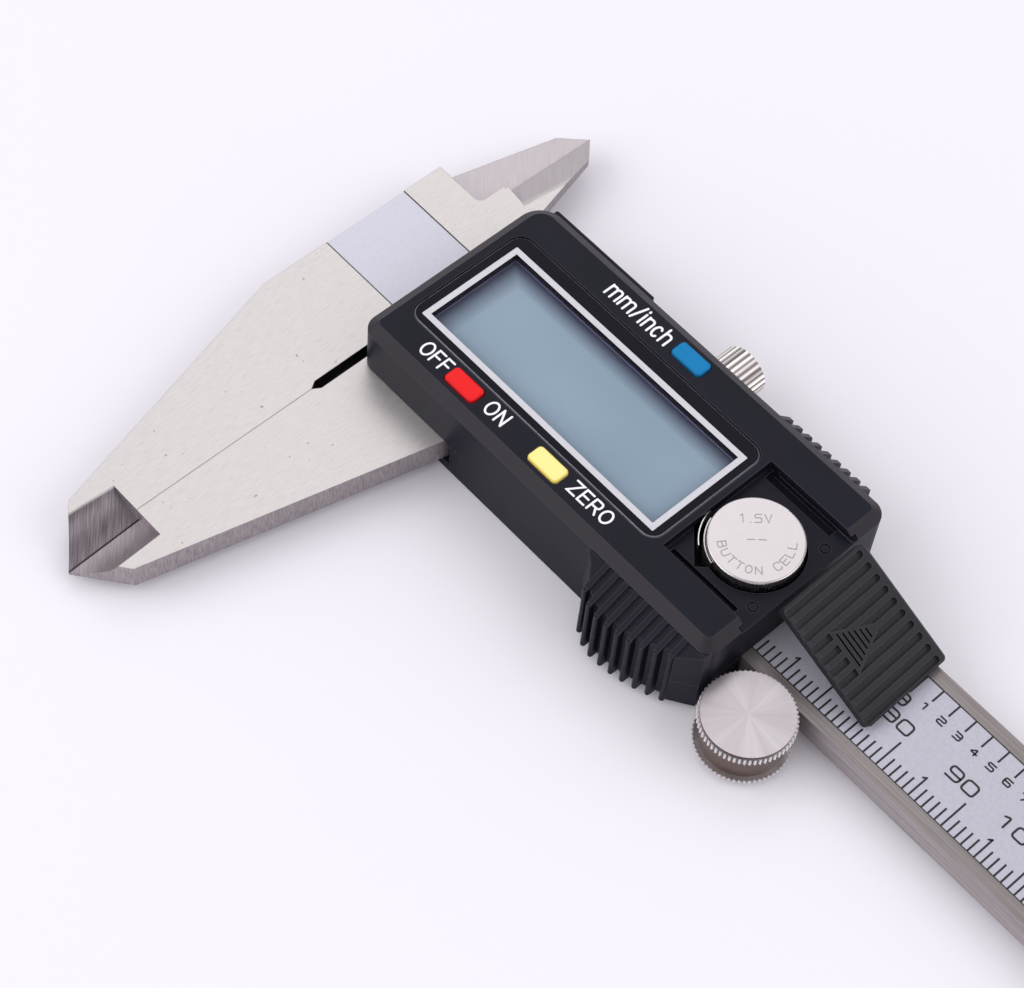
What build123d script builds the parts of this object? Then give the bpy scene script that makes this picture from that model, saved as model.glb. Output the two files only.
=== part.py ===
"""Digital caliper with depth rod, 200 mm class.

Frame: X runs along the beam with X = 0 at the closed measuring faces, Y = 0 is the
beam's centreline with the outside jaws on the -Y side, and Z = 0 is the flat back of
the slider, on which the caliper lies. All lengths are in millimetres.
"""
import math
import os

from build123d import *

# ---------------------------------------------------------------------------
# Driving dimensions
# ---------------------------------------------------------------------------
# beam and fixed jaws
travel = 200.0
beam_width = 16.4
beam_thickness = 3.7
head_left = -15.75
head_top = 12.5
jaw_knee_y = -16.45
jaw_shoulder_x = 6.1
jaw_shoulder_y = -53.75
jaw_tip_y = -58.7
slot_half = 0.65
slot_end_y = -22.0
slot_taper = 1.0
jaw_gap = 0.04
tip_relief_y = -48.75
tip_relief_radius = 5.2
tip_relief_rise = 2.8
tip_relief_fall = 0.8
horn_x = -7.8
horn_tip_y = 31.5
horn_shoulder_y = 28.3
horn_shoulder_half = 3.05
horn_base_half = 6.7
horn_base_y = 13.8
horn_block_y = 16.6
horn_block_left = 0.4
horn_bevel_x = 3.6
horn_bevel_depth = 1.2
horn_bevel_reach = 12.0
horn_bevel_turn = 6.8
half_gap = 0.12

# scale
scale_width = 12.8
groove_depth = 1.0
strip_thickness = 0.75
label_thickness = 0.15
scale_side_gap = 0.05

# depth rod
rod_width = 3.0
rod_thickness = 1.1
rod_groove_play = 0.15
rod_inset = 15.8
rod_tip_step = 0.9
rod_tip_length = 5.0
rod_screw_inset = 3.0
rod_screw_pitch = 6.0
rod_screw_radius = 0.6

# end stop
stop_length = 12.0
stop_width = 14.0
stop_inset = 1.0
stop_margin = 1.7
stop_screw_spread = 5.0
small_screw_radius = 0.8
small_head_radius = 1.5
small_head_height = 0.7
stop_thread = 1.6
thread_end_gap = 0.2
cross_length = 1.7
cross_width = 0.4
cross_depth = 0.45
end_corner = 0.8
riser_fillet = 1.0

# slider frame
floor_thickness = 0.8
web_thickness = 0.75
web_seat = 0.05
slide_clearance = 0.1
frame_side_play = 0.7
gib_thickness = 0.9
gib_inset_low = 13.1
gib_inset_high = 6.3
gib_play = 0.05
gib_screw_inset_low = 6.5
gib_screw_inset_high = 6.5
rod_pad_length = 10.0
board_gap = 0.35
board_thickness = 1.0
board_corner = 1.0
moving_jaw_slope = 0.2515
moving_jaw_edge_x = 15.87
moving_jaw_edge_y = -14.72

# housing
case_left = 0.4
case_length = 59.4
case_width = 29.6
case_rise = 8.0
wall = 1.4
roof = 1.4
bevel_run = 1.4
bevel_drop = 1.15
corner_radius = 2.2
corner_radius_head = 3.4
seam_chamfer = 0.15
frame_play = 0.1
rear_edge_radius = 0.4
beam_headroom = 0.15
beam_window = 0.25
jaw_window_play = 1.13

# window and display
window_inset_left = 2.4
window_inset_right = 14.5
window_inset_low = 5.2
window_inset_high = 5.7
window_corner = 2.0
window_play = 0.06
window_edge = 0.15
window_thickness = 0.9
window_drop = 0.05
sight_inset_left = 2.1
sight_inset_right = 1.95
sight_inset_low = 1.9
sight_inset_high = 2.8
lcd_margin = 0.7
lcd_gap = 0.05
lcd_thickness = 1.6
zebra_width = 2.0

# buttons
button_travel = 0.6
button_long = 5.0
button_short = 2.5
button_corner = 0.6
button_rise = 0.35
button_play = 0.12
button_flange = 0.6
button_flange_thickness = 0.6
button_flange_side = 0.4
button_flange_gap = 0.1
button_edge = 0.3
power_inset = 14.9
zero_inset = 29.4
unit_inset = 29.45
low_button_inset = 3.3
unit_button_inset = 3.2
button_shank = 3.4
button_switch_gap = 0.1
switch_size = 3.4
switch_depth = 2.4
switch_stem = 0.5
chip_radius = 3.0
chip_height = 1.0

# battery bay
bay_inset_left = 13.65
bay_inset_low = 6.05
bay_inset_high = 5.95
bay_depth = 1.5
bay_floor = 1.2
cell_inset = 7.15
cell_offset = -0.15
cell_radius = 5.8
cell_height = 5.4
cell_play = 0.35
cell_proud = 1.6
well_wall = 0.8
channel_width = 1.4
channel_depth = 0.8
channel_start = 0.6
channel_end_inset = 2.6
dimple_inset = 1.7
dimple_side_inset = 2.9
dimple_radius = 0.7
dimple_line = 0.25
slot_reach = 0.7
slot_height = 0.7
slot_lift = 0.15
slot_start = 1.5
well_foot_gap = 0.3
spring_width = 6.0
spring_turn = 46.0
spring_sheet = 0.15
spring_gap = 0.08
spring_rise = 0.9
spring_pocket_depth = 2.4
minus_pad_radius = 3.48
cell_edge = 0.25

# battery cover
cover_length = 16.58
cover_width = 13.4
cover_thickness = 1.5
cover_corner = 0.6
cover_groove_count = 10
cover_groove_pitch = 1.66
cover_groove_width = 0.9
cover_groove_depth = 0.45
cover_rim = 0.95
cover_chamfer = 0.3
cover_tilt = 26.5
cover_yaw = 1.5
cover_reach = 15.57
cover_mid_y = 2.35
cover_rest_gap = 0.15
cover_rail_depth = 0.8
cover_rail_width = 1.2
cover_rail_inset = 0.6
cover_rail_stop = 4.0
cover_arrow_base = 4.6
cover_arrow_low = 3.1
cover_arrow_high = 1.7
cover_arrow_margin = 0.7
cover_hatch_count = 6
cover_hatch_width = 0.26

# grips
rib_count = 9
rib_pitch = 1.59
rib_width = 0.7
grip_first_inset = 16.2
grip_lead_inset = 19.4
grip_reach = 4.5
grip_peak_inset = 12.8
grip_rise_rate = 0.106
grip_fall_rate = 0.027
grip_slope = 0.48
grip_slope_drop = 0.45
grip_valley = 0.75
grip_foot = 0.9
grip_end_inset = 0.3
upper_grip_reach = 2.1
upper_grip_lock_gap = 7.3
upper_grip_end_inset = 4.88
upper_grip_valley = 0.7
upper_grip_knee = 4.5

# data port
port_inset = 2.6
port_width = 6.4
port_low = 0.85
port_height = 2.5
port_cover_inset = 1.5
port_cover_length = 17.4
port_cover_rise = 1.5
port_cover_low = 0.25
port_cover_height = 5.2
port_travel = 8.0
port_play = 0.12
port_cover_edge = 0.5
hook_depth = 0.4
contact_length = 1.8
contact_height = 0.3
hook_inset = 8.1
hook_length = 4.0
hook_neck = 0.5
hook_head = 0.8

# lock screw
lock_port_gap = 1.0
lock_drop = 0.2
lock_thread_radius = 1.25
lock_head_radius = 3.3
lock_head_gap = 0.8
lock_head_length = 5.9
lock_dome = 0.9
lock_dome_fall = 0.27
lock_dome_knee = 1.98
lock_rim_play = 0.01
lock_tooth_depth = 0.22
lock_teeth = 26
lock_boss_half = 2.0
lock_boss_wall = 0.2
lock_passage_gap = 0.4
running_gap = 0.06

# thumb roller
roller_case_gap = 0.35
roller_nip = 0.1
roller_disc_radius = 5.85
roller_top_radius = 5.5
roller_core_radius = 5.2
roller_top_rise = 1.4
roller_teeth = 60
roller_tooth_depth = 0.3
roller_edge_gap = 0.15
axle_radius = 1.0
roller_rim = 0.35
bracket_thickness = 0.6
bracket_inset = 13.3
bracket_width = 4.2
bracket_root_inset = 1.3
bracket_eye_radius = 3.2
bracket_screw_inset = 3.5
bracket_thread = 2.5
bracket_gap = 0.1

# fasteners
case_screw_radius = 0.8
case_screw_head = 1.5
case_screw_hole_play = 0.15
case_boss_radius = 1.8
case_screw_inset_low = 7.6
case_screw_inset_high = 12.1
case_screw_inset_mid = 17.8
case_screw_inset_end = 5.3
case_screw_rail_inset = 1.8
case_screw_bite = 4.0

# how far a cut runs past the solid it cuts
overrun = 1.0

# ---------------------------------------------------------------------------
# Levels and lines worked out from the driving dimensions
# ---------------------------------------------------------------------------
beam_half = beam_width / 2
web_low = floor_thickness + web_seat
web_top = web_low + web_thickness
back = web_top + slide_clearance
face = back + beam_thickness
mid_low = back + beam_thickness / 2 - half_gap / 2
mid_high = back + beam_thickness / 2 + half_gap / 2
board_low = face + board_gap
board_top = board_low + board_thickness

# outline of the case
case_right = case_left + case_length
case_mid = (case_left + case_right) / 2
case_half = case_width / 2
case_top = face + case_rise
roof_low = case_top - roof
under_bevel = case_top - bevel_drop
inner_left = case_left + wall
inner_right = case_right - wall
inner_half = case_half - wall
jaw_window_right = moving_jaw_edge_x + jaw_window_play

# slider frame inside the case, around the beam
frame_left = inner_left + frame_play
frame_right = inner_right - frame_play
rail_inner_y = beam_half + slide_clearance
rail_outer_y = inner_half - frame_side_play
rail_width = rail_outer_y - rail_inner_y
frame_length = frame_right - frame_left
gib_outer_y = rail_inner_y + gib_thickness
gib_start = case_left + gib_inset_low
gib_end = case_right - gib_inset_high
gib_screw_x_low = gib_start + gib_screw_inset_low
gib_screw_x_high = gib_end - gib_screw_inset_high
gib_screw_z = back + beam_thickness / 2

# the beam is long enough for the travel, and the stop stands just past it
beam_end = case_right + travel + stop_margin + stop_length + stop_inset
stop_right = beam_end - stop_inset
stop_left = stop_right - stop_length
stop_mid = (stop_left + stop_right) / 2
groove_half = scale_width / 2 + scale_side_gap
horn_left = horn_x - horn_base_half
horn_right = horn_x + horn_base_half
rod_low = back + rod_groove_play
rod_start = case_right - rod_inset
rod_screw_x = rod_start + rod_screw_inset

# window and display
window_left = case_left + window_inset_left
window_right = case_right - window_inset_right
window_low = window_inset_low - case_half
window_high = case_half - window_inset_high
window_low_z = case_top - window_drop - window_thickness
sight_left = window_left + sight_inset_left
sight_right = window_right - sight_inset_right
sight_low = window_low + sight_inset_low
sight_high = window_high - sight_inset_high
lcd_top = roof_low - lcd_gap
lcd_low = lcd_top - lcd_thickness

# battery bay
bay_left = case_right - bay_inset_left
bay_low = bay_inset_low - case_half
bay_high = case_half - bay_inset_high
bay_width = bay_high - bay_low
bay_mid_y = (bay_low + bay_high) / 2
bay_z = case_top - bay_depth
bay_length = case_right - bay_left
cell_x = case_right - cell_inset
cell_y = bay_mid_y + cell_offset
cell_top = bay_z + cell_proud
cell_low = cell_top - cell_height
dimple_x = case_right - dimple_inset
dimple_y = bay_width / 2 - dimple_side_inset

# buttons
low_button_y = low_button_inset - case_half
unit_button_y = case_half - unit_button_inset
button_spots = {
    "power_button": (case_left + power_inset, low_button_y),
    "zero_button": (case_left + zero_inset, low_button_y),
    "unit_button": (case_left + unit_inset, unit_button_y),
}
switch_top = case_top + button_rise - button_travel - button_shank
button_low = switch_top + button_travel + button_switch_gap

# data port, its cover and the lock screw just past the cover's travel
port_left = case_left + port_inset
port_cover_left = case_left + port_cover_inset
port_cover_right = port_cover_left + port_cover_length
port_cover_out = case_half + port_cover_rise
hook_left = port_cover_left + hook_inset
hook_z = face + port_cover_low + port_cover_height / 2
lock_x = port_cover_right + port_travel + lock_port_gap + lock_head_radius
lock_z = face - lock_drop
lock_head_start = case_half + lock_head_gap
lock_head_end = lock_head_start + lock_head_length
lock_rim_x = lock_x + lock_head_radius + lock_rim_play

# grips; the upper one has as many ribs as fit between the lock screw and the case's end
grip_first_x = case_right - grip_first_inset
grip_lead_x = case_right - grip_lead_inset
grip_peak_x = case_right - grip_peak_inset
upper_grip_first_x = lock_x + lock_head_radius + upper_grip_lock_gap
upper_rib_count = 1 + round((case_right - upper_grip_end_inset - upper_grip_first_x) / rib_pitch)

# the thumb roller stands beside the beam's edge, just past the case's end
roller_x = case_right + roller_disc_radius + roller_case_gap
roller_y = -(beam_half + roller_core_radius + roller_nip)
roller_low_disc = back - roller_edge_gap
roller_top_disc = face + roller_edge_gap
roller_top = face + roller_top_rise
axle_top = face
bracket_top = web_low
bracket_low = bracket_top - bracket_thickness
roller_bottom = bracket_top + bracket_gap
bracket_left = case_right - bracket_inset
bracket_root_y = bracket_root_inset - rail_outer_y
bracket_screw_x = bracket_left + bracket_screw_inset

# case screws pass through the rails, on the upper side past both ends of the gib
case_screw_y = rail_outer_y - case_screw_rail_inset
case_screw_hole = case_screw_radius + case_screw_hole_play
case_screw_spots = [
    (case_left + case_screw_inset_low, -case_screw_y),
    (case_left + case_screw_inset_high, case_screw_y),
    (case_right - case_screw_inset_mid, -case_screw_y),
    (case_right - case_screw_inset_end, case_screw_y),
]
low_align = (Align.CENTER, Align.CENTER, Align.MIN)
corner_align = (Align.MIN, Align.MIN, Align.MIN)
flat_corner_align = (Align.MIN, Align.MIN)
os.makedirs("parts", exist_ok=True)


def save(builder, name):
    """Label a finished sub-part and write its STEP file."""
    builder.part.label = name
    export_step(builder.part, f"parts/{name}.step")


def tip_relief():
    """Round-bottomed relief across both outside jaw tips, deeper at the points."""
    length = tip_relief_y - jaw_tip_y + 4 * overrun
    start = Vector(0, tip_relief_y, face + tip_relief_rise)
    slope = Vector(0, jaw_tip_y - tip_relief_y, -tip_relief_fall)
    with BuildPart(mode=Mode.PRIVATE) as relief:
        with BuildSketch(Plane(origin=start, x_dir=(1, 0, 0), z_dir=slope.normalized())):
            Circle(tip_relief_radius)
        extrude(amount=length)
    return relief.part


def gear_outline(radius, depth, teeth):
    """Straight knurl: a ring of shallow V teeth as one closed polyline."""
    points = []
    for index in range(teeth):
        angle = 2 * math.pi * index / teeth
        valley = angle + math.pi / teeth
        points.append((radius * math.cos(angle), radius * math.sin(angle)))
        points.append(((radius - depth) * math.cos(valley), (radius - depth) * math.sin(valley)))
    return points


def cross_recesses(spots, depth):
    """Cross recesses in screw heads that face down at the slider's flat back."""
    with BuildPart(mode=Mode.PRIVATE) as recess:
        for x, y in spots:
            with Locations((x, y, 0)):
                Box(cross_length, cross_width, depth, align=low_align)
                Box(cross_width, cross_length, depth, align=low_align)
    return recess.part


# ---------------------------------------------------------------------------
# Beam with the fixed jaws
# ---------------------------------------------------------------------------
with BuildPart() as beam:
    with BuildSketch(Plane.XY.offset(back)):
        with BuildLine():
            Polyline(
                (head_left, head_top),
                (head_left, jaw_knee_y),
                (-jaw_shoulder_x, jaw_shoulder_y),
                (-jaw_gap / 2, jaw_tip_y),
                (-jaw_gap / 2, slot_end_y),
                (-slot_half, slot_end_y + slot_taper),
                (-slot_half, head_top),
                (horn_right, horn_base_y),
                (horn_x + horn_shoulder_half, horn_shoulder_y),
                (horn_x, horn_tip_y),
                (horn_x, horn_block_y),
                (horn_x - horn_block_left, horn_block_y),
                (horn_x - horn_block_left, head_top),
                close=True,
            )
        make_face()
        Rectangle(beam_end, beam_width, align=(Align.MIN, Align.CENTER))
        Rectangle(-head_left, beam_width, align=(Align.MAX, Align.CENTER))
    extrude(amount=beam_thickness)
    fillet(beam.edges().filter_by(Axis.Z).group_by(Axis.X)[-1], end_corner)
    riser_spot = (horn_x - horn_block_left, head_top, face)
    fillet(beam.edges().filter_by(Axis.Z).sort_by_distance(riser_spot)[0], riser_fillet)
    # back of the head is relieved so that the moving inside jaw passes behind it
    with BuildSketch(Plane.XY.offset(back)):
        with Locations((head_left - overrun, beam_half)):
            Rectangle(overrun - head_left, horn_tip_y, align=(Align.MIN, Align.MIN))
    extrude(amount=mid_high - back, mode=Mode.SUBTRACT)
    # bevel of the fixed inside jaw, down towards its measuring edge
    turn = math.radians(horn_bevel_turn)
    bevel_plane = Plane(
        origin=(horn_x + horn_bevel_x, horn_block_y, face),
        x_dir=(-math.cos(turn), math.sin(turn), 0),
        z_dir=(math.sin(turn), math.cos(turn), 0),
    )
    with BuildSketch(bevel_plane):
        with BuildLine():
            Polyline(
                (0, 0),
                (horn_bevel_reach, -horn_bevel_reach * horn_bevel_depth / horn_bevel_x),
                (horn_bevel_reach, 0),
                close=True,
            )
        make_face()
    extrude(amount=horn_tip_y, mode=Mode.SUBTRACT)
    add(tip_relief(), mode=Mode.SUBTRACT)
    # groove for the scale, groove for the depth rod, holes for the end stop
    with BuildSketch(Plane.XY.offset(face)):
        with Locations((head_left - overrun, 0)):
            Rectangle(beam_end - head_left + 2 * overrun, 2 * groove_half, align=(Align.MIN, Align.CENTER))
    extrude(amount=-groove_depth, mode=Mode.SUBTRACT)
    with BuildSketch(Plane.XY.offset(back)):
        with Locations((rod_start - overrun, 0)):
            Rectangle(beam_end, rod_width + 2 * rod_groove_play, align=(Align.MIN, Align.CENTER))
    extrude(amount=rod_thickness + 2 * rod_groove_play, mode=Mode.SUBTRACT)
    with Locations((stop_mid, stop_screw_spread, back), (stop_mid, -stop_screw_spread, back)):
        Cylinder(small_screw_radius, stop_thread, align=low_align, mode=Mode.SUBTRACT)
save(beam, "beam")

with BuildPart() as scale_strip:
    with BuildSketch(Plane.XY.offset(face - groove_depth)):
        with Locations((head_left, 0)):
            Rectangle(beam_end - head_left - scale_side_gap, scale_width, align=(Align.MIN, Align.CENTER))
    extrude(amount=strip_thickness)
save(scale_strip, "scale_strip")

with BuildPart() as scale_label:
    with BuildSketch(Plane.XY.offset(face - groove_depth + strip_thickness)):
        with Locations((head_left, 0)):
            Rectangle(beam_end - head_left - scale_side_gap, scale_width, align=(Align.MIN, Align.CENTER))
    extrude(amount=label_thickness)
save(scale_label, "scale_label")

with BuildPart() as end_stop:
    with BuildSketch():
        with Locations((stop_mid, 0)):
            RectangleRounded(stop_length, stop_width, end_corner)
    extrude(amount=back)
    for side in (-1, 1):
        with Locations((stop_mid, side * stop_screw_spread, 0)):
            Cone(
                small_head_radius, small_screw_radius, small_head_height,
                align=low_align, mode=Mode.SUBTRACT,
            )
            Cylinder(small_screw_radius, back, align=low_align, mode=Mode.SUBTRACT)
save(end_stop, "end_stop")

with BuildPart() as end_stop_screws:
    for side in (-1, 1):
        with Locations((stop_mid, side * stop_screw_spread, 0)):
            Cone(small_head_radius, small_screw_radius, small_head_height, align=low_align)
            Cylinder(small_screw_radius, back + stop_thread - thread_end_gap, align=low_align)
    stop_screw_spots = [(stop_mid, -stop_screw_spread), (stop_mid, stop_screw_spread)]
    add(cross_recesses(stop_screw_spots, cross_depth), mode=Mode.SUBTRACT)
save(end_stop_screws, "end_stop_screws")

# ---------------------------------------------------------------------------
# Slider frame with the moving jaws, and what guides it on the beam
# ---------------------------------------------------------------------------
with BuildPart() as sliding_jaw:
    # web under the beam
    with BuildSketch(Plane.XY.offset(web_low)):
        with Locations((frame_left, 0)):
            Rectangle(frame_length, 2 * rail_outer_y, align=(Align.MIN, Align.CENTER))
    extrude(amount=web_thickness)
    # outside jaw and the lower rail
    with BuildSketch(Plane.XY.offset(back)):
        with BuildLine():
            Polyline(
                (jaw_gap / 2, jaw_tip_y),
                (jaw_shoulder_x, jaw_shoulder_y),
                (moving_jaw_edge_x, moving_jaw_edge_y),
                (moving_jaw_edge_x + moving_jaw_slope * (-rail_outer_y - moving_jaw_edge_y), -rail_outer_y),
                (moving_jaw_edge_x, -rail_inner_y),
                (slot_half, -rail_inner_y),
                (slot_half, slot_end_y + slot_taper),
                (jaw_gap / 2, slot_end_y),
                close=True,
            )
        make_face()
    extrude(amount=beam_thickness)
    with BuildSketch(Plane.XY.offset(web_low)):
        with Locations((frame_left, -rail_outer_y)):
            Rectangle(frame_length, rail_width, align=flat_corner_align)
        with Locations((frame_left, gib_outer_y + gib_play)):
            Rectangle(frame_length, rail_outer_y - gib_outer_y - gib_play, align=flat_corner_align)
        with Locations((frame_left, rail_inner_y)):
            Rectangle(gib_start - gib_play - frame_left, rail_width, align=flat_corner_align)
        with Locations((gib_end + gib_play, rail_inner_y)):
            Rectangle(frame_right - gib_end - gib_play, rail_width, align=flat_corner_align)
    extrude(amount=board_low - web_low)
    # head of the upper side, full thickness beside the beam and half thickness behind the fixed jaw
    with BuildSketch(Plane.XY.offset(back)):
        with Locations((slot_half, rail_inner_y)):
            Rectangle(frame_left - slot_half, horn_base_y - rail_inner_y, align=(Align.MIN, Align.MIN))
    extrude(amount=beam_thickness)
    with BuildSketch(Plane.XY.offset(back)):
        with BuildLine():
            Polyline(
                (horn_left, rail_inner_y),
                (frame_left, rail_inner_y),
                (frame_left, horn_base_y),
                (horn_x, horn_base_y),
                (horn_x, horn_tip_y),
                (horn_x - horn_shoulder_half, horn_shoulder_y),
                (horn_left, horn_base_y),
                close=True,
            )
        make_face()
    extrude(amount=mid_low - back)
    # bevel on the back of the moving inside jaw
    moving_bevel_plane = Plane(
        origin=(horn_x - horn_bevel_x, horn_block_y, back),
        x_dir=(math.cos(turn), math.sin(turn), 0),
        z_dir=(-math.sin(turn), math.cos(turn), 0),
    )
    with BuildSketch(moving_bevel_plane):
        with BuildLine():
            Polyline(
                (0, 0),
                (horn_bevel_reach, 0),
                (horn_bevel_reach, -horn_bevel_reach * horn_bevel_depth / horn_bevel_x),
                close=True,
            )
        make_face()
    extrude(amount=horn_tip_y, mode=Mode.SUBTRACT)
    add(tip_relief(), mode=Mode.SUBTRACT)
    # boss for the lock screw and pad for the depth rod
    with Locations((lock_x, gib_outer_y + gib_play, web_top)):
        Box(
            2 * lock_boss_half,
            rail_outer_y - gib_outer_y - gib_play,
            lock_z + lock_thread_radius + lock_boss_wall - web_top,
            align=(Align.CENTER, Align.MIN, Align.MIN),
        )
    with Locations((rod_start, 0, web_top)):
        Box(
            rod_pad_length, rod_width - 2 * rod_groove_play, rod_low - web_top,
            align=(Align.MIN, Align.CENTER, Align.MIN),
        )
    # holes: lock screw, gib screws, rod screws, case screws, bracket screw
    with BuildSketch(Plane.XZ.offset(-rail_inner_y)):
        with Locations((lock_x, lock_z)):
            Circle(lock_thread_radius + running_gap)
        with Locations((gib_screw_x_low, gib_screw_z), (gib_screw_x_high, gib_screw_z)):
            Circle(small_screw_radius)
    extrude(amount=-(rail_width + overrun), mode=Mode.SUBTRACT)
    for index in range(2):
        with Locations((rod_screw_x + index * rod_screw_pitch, 0, web_low)):
            Cylinder(rod_screw_radius, rod_low - web_low + overrun, align=low_align, mode=Mode.SUBTRACT)
    for spot in case_screw_spots:
        with Locations((*spot, web_low)):
            Cylinder(case_screw_hole, board_low, align=low_align, mode=Mode.SUBTRACT)
    with Locations((bracket_screw_x, bracket_root_y, web_low)):
        Cylinder(small_screw_radius, bracket_thread, align=low_align, mode=Mode.SUBTRACT)
save(sliding_jaw, "sliding_jaw")

with BuildPart() as gib_strip:
    with Locations((gib_start, rail_inner_y, back)):
        Box(gib_end - gib_start, gib_thickness, beam_thickness, align=corner_align)
save(gib_strip, "gib_strip")

with BuildPart() as gib_screws:
    with BuildSketch(Plane.XZ.offset(-gib_outer_y)):
        with Locations((gib_screw_x_low, gib_screw_z), (gib_screw_x_high, gib_screw_z)):
            Circle(small_screw_radius)
    extrude(amount=-(rail_outer_y - gib_outer_y))
save(gib_screws, "gib_screws")

with BuildPart() as depth_rod:
    with BuildSketch(Plane.XY.offset(rod_low)):
        with Locations((rod_start, 0)):
            Rectangle(beam_end - rod_start, rod_width, align=(Align.MIN, Align.CENTER))
    extrude(amount=rod_thickness)
    # the measuring tip is stepped so that it reaches into a corner
    with Locations((beam_end - rod_tip_length, rod_width / 2, rod_low)):
        Box(
            rod_tip_length, rod_tip_step, rod_thickness,
            align=(Align.MIN, Align.MAX, Align.MIN), mode=Mode.SUBTRACT,
        )
    for index in range(2):
        with Locations((rod_screw_x + index * rod_screw_pitch, 0, rod_low)):
            Cylinder(rod_screw_radius, rod_thickness - thread_end_gap, align=low_align, mode=Mode.SUBTRACT)
save(depth_rod, "depth_rod")

with BuildPart() as rod_screws:
    for index in range(2):
        with Locations((rod_screw_x + index * rod_screw_pitch, 0, web_low)):
            Cylinder(rod_screw_radius, rod_low - web_low + rod_thickness - thread_end_gap, align=low_align)
save(rod_screws, "rod_screws")


# ---------------------------------------------------------------------------
# Grips, shared by the front housing and the rear cover
# ---------------------------------------------------------------------------
def lower_reach(x):
    """How far the lower grip stands out from the case wall at x: two half parabolas."""
    rate = grip_rise_rate if x < grip_peak_x else grip_fall_rate
    return grip_reach - rate * (x - grip_peak_x) ** 2


def lower_grip(low, high):
    """Lower grip between two levels: a swelling with upright ribs and a smooth end block."""
    last_rib = grip_first_x + (rib_count - 1) * rib_pitch
    lead_x = grip_first_x - rib_pitch
    span = [lead_x + (last_rib - lead_x) * step / 4 for step in range(5)]
    with BuildPart(mode=Mode.PRIVATE) as grip:
        with BuildSketch(Plane.XY.offset(low)):
            with BuildLine():
                root = Polyline(
                    (case_right - corner_radius, -inner_half),
                    (grip_lead_x, -inner_half),
                    (grip_lead_x, -case_half),
                )
                swell = Spline([(x, grip_valley - lower_reach(x) - case_half) for x in span])
                Line(root @ 1, swell @ 0)
                Line(swell @ 1, root @ 0)
            make_face()
            with BuildLine():
                block = Polyline(
                    (case_right - grip_end_inset, -inner_half),
                    (last_rib, -inner_half),
                    (last_rib, -case_half - lower_reach(last_rib)),
                )
                shoulder_x = case_right - rib_pitch
                ThreePointArc(
                    block @ 1,
                    (shoulder_x - grip_end_inset, -case_half - lower_reach(shoulder_x)),
                    (case_right - grip_end_inset, -case_half),
                )
                Line((case_right - grip_end_inset, -case_half), block @ 0)
            make_face()
        extrude(amount=high - low)
        # shoulder that slopes out from under the bevel
        far = grip_reach + overrun
        shoulder_z = under_bevel - grip_slope_drop
        with BuildSketch(Plane.YZ.offset(grip_lead_x - overrun)):
            with BuildLine():
                Polyline(
                    (-case_half, under_bevel + overrun),
                    (-case_half, shoulder_z),
                    (-case_half - far, shoulder_z - grip_slope * far),
                    (-case_half - far, under_bevel + overrun),
                    close=True,
                )
            make_face()
        extrude(amount=case_right - grip_lead_x + 2 * overrun, mode=Mode.SUBTRACT)
        for index in range(rib_count):
            rib_x = grip_first_x + index * rib_pitch
            tip = -case_half - lower_reach(rib_x)
            knee_z = under_bevel - grip_slope * lower_reach(rib_x)
            with BuildSketch(Plane.YZ.offset(rib_x - rib_width / 2)):
                with BuildLine():
                    Polyline(
                        (-inner_half, grip_foot),
                        (tip, grip_foot),
                        (tip, knee_z),
                        (-case_half, under_bevel),
                        (-inner_half, under_bevel),
                        close=True,
                    )
                make_face()
            extrude(amount=rib_width)
            with BuildSketch(Plane.XY.offset(grip_foot)):
                with Locations((rib_x, tip)):
                    Circle(rib_width / 2)
            extrude(amount=knee_z - grip_foot - grip_slope * rib_width / 2)
        with BuildSketch(Plane.XY.offset(low)):
            Rectangle(4 * case_length, 4 * case_width)
        extrude(amount=high - low, mode=Mode.INTERSECT)
    return grip.part


def upper_grip(low, high):
    """Upper grip between two levels: a low pad with upright ribs."""
    knee = face + upper_grip_knee
    with BuildPart(mode=Mode.PRIVATE) as grip:
        with BuildSketch(Plane.YZ.offset(upper_grip_first_x - rib_pitch)):
            with BuildLine():
                Polyline(
                    (inner_half, grip_foot),
                    (case_half + upper_grip_reach - upper_grip_valley, grip_foot),
                    (case_half + upper_grip_reach - upper_grip_valley, knee - grip_slope_drop),
                    (case_half, under_bevel - grip_slope_drop),
                    (inner_half, under_bevel - grip_slope_drop),
                    close=True,
                )
            make_face()
        extrude(amount=(upper_rib_count + 1) * rib_pitch)
        for index in range(upper_rib_count):
            rib_x = upper_grip_first_x + index * rib_pitch
            with BuildSketch(Plane.YZ.offset(rib_x - rib_width / 2)):
                with BuildLine():
                    Polyline(
                        (inner_half, grip_foot),
                        (case_half + upper_grip_reach, grip_foot),
                        (case_half + upper_grip_reach, knee),
                        (case_half, under_bevel),
                        (inner_half, under_bevel),
                        close=True,
                    )
                make_face()
            extrude(amount=rib_width)
        with BuildSketch(Plane.XY.offset(low)):
            Rectangle(4 * case_length, 4 * case_width)
        extrude(amount=high - low, mode=Mode.INTERSECT)
    return grip.part


def case_block(low, high):
    """Outer block of the case between two levels, with its upright corners rounded."""
    with BuildPart(mode=Mode.PRIVATE) as block:
        with BuildSketch(Plane.XY.offset(low)):
            with Locations((case_mid, 0)):
                Rectangle(case_length, case_width)
        extrude(amount=high - low)
        corners = block.edges().filter_by(Axis.Z)
        head_corner = corners.sort_by_distance((case_left, case_half, low))[0]
        others = corners.sort_by_distance((case_left, case_half, low))[1:]
        fillet(others, corner_radius)
        head_corner = block.edges().filter_by(Axis.Z).sort_by_distance((case_left, case_half, low))[0]
        fillet(head_corner, corner_radius_head)
    return block.part


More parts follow.
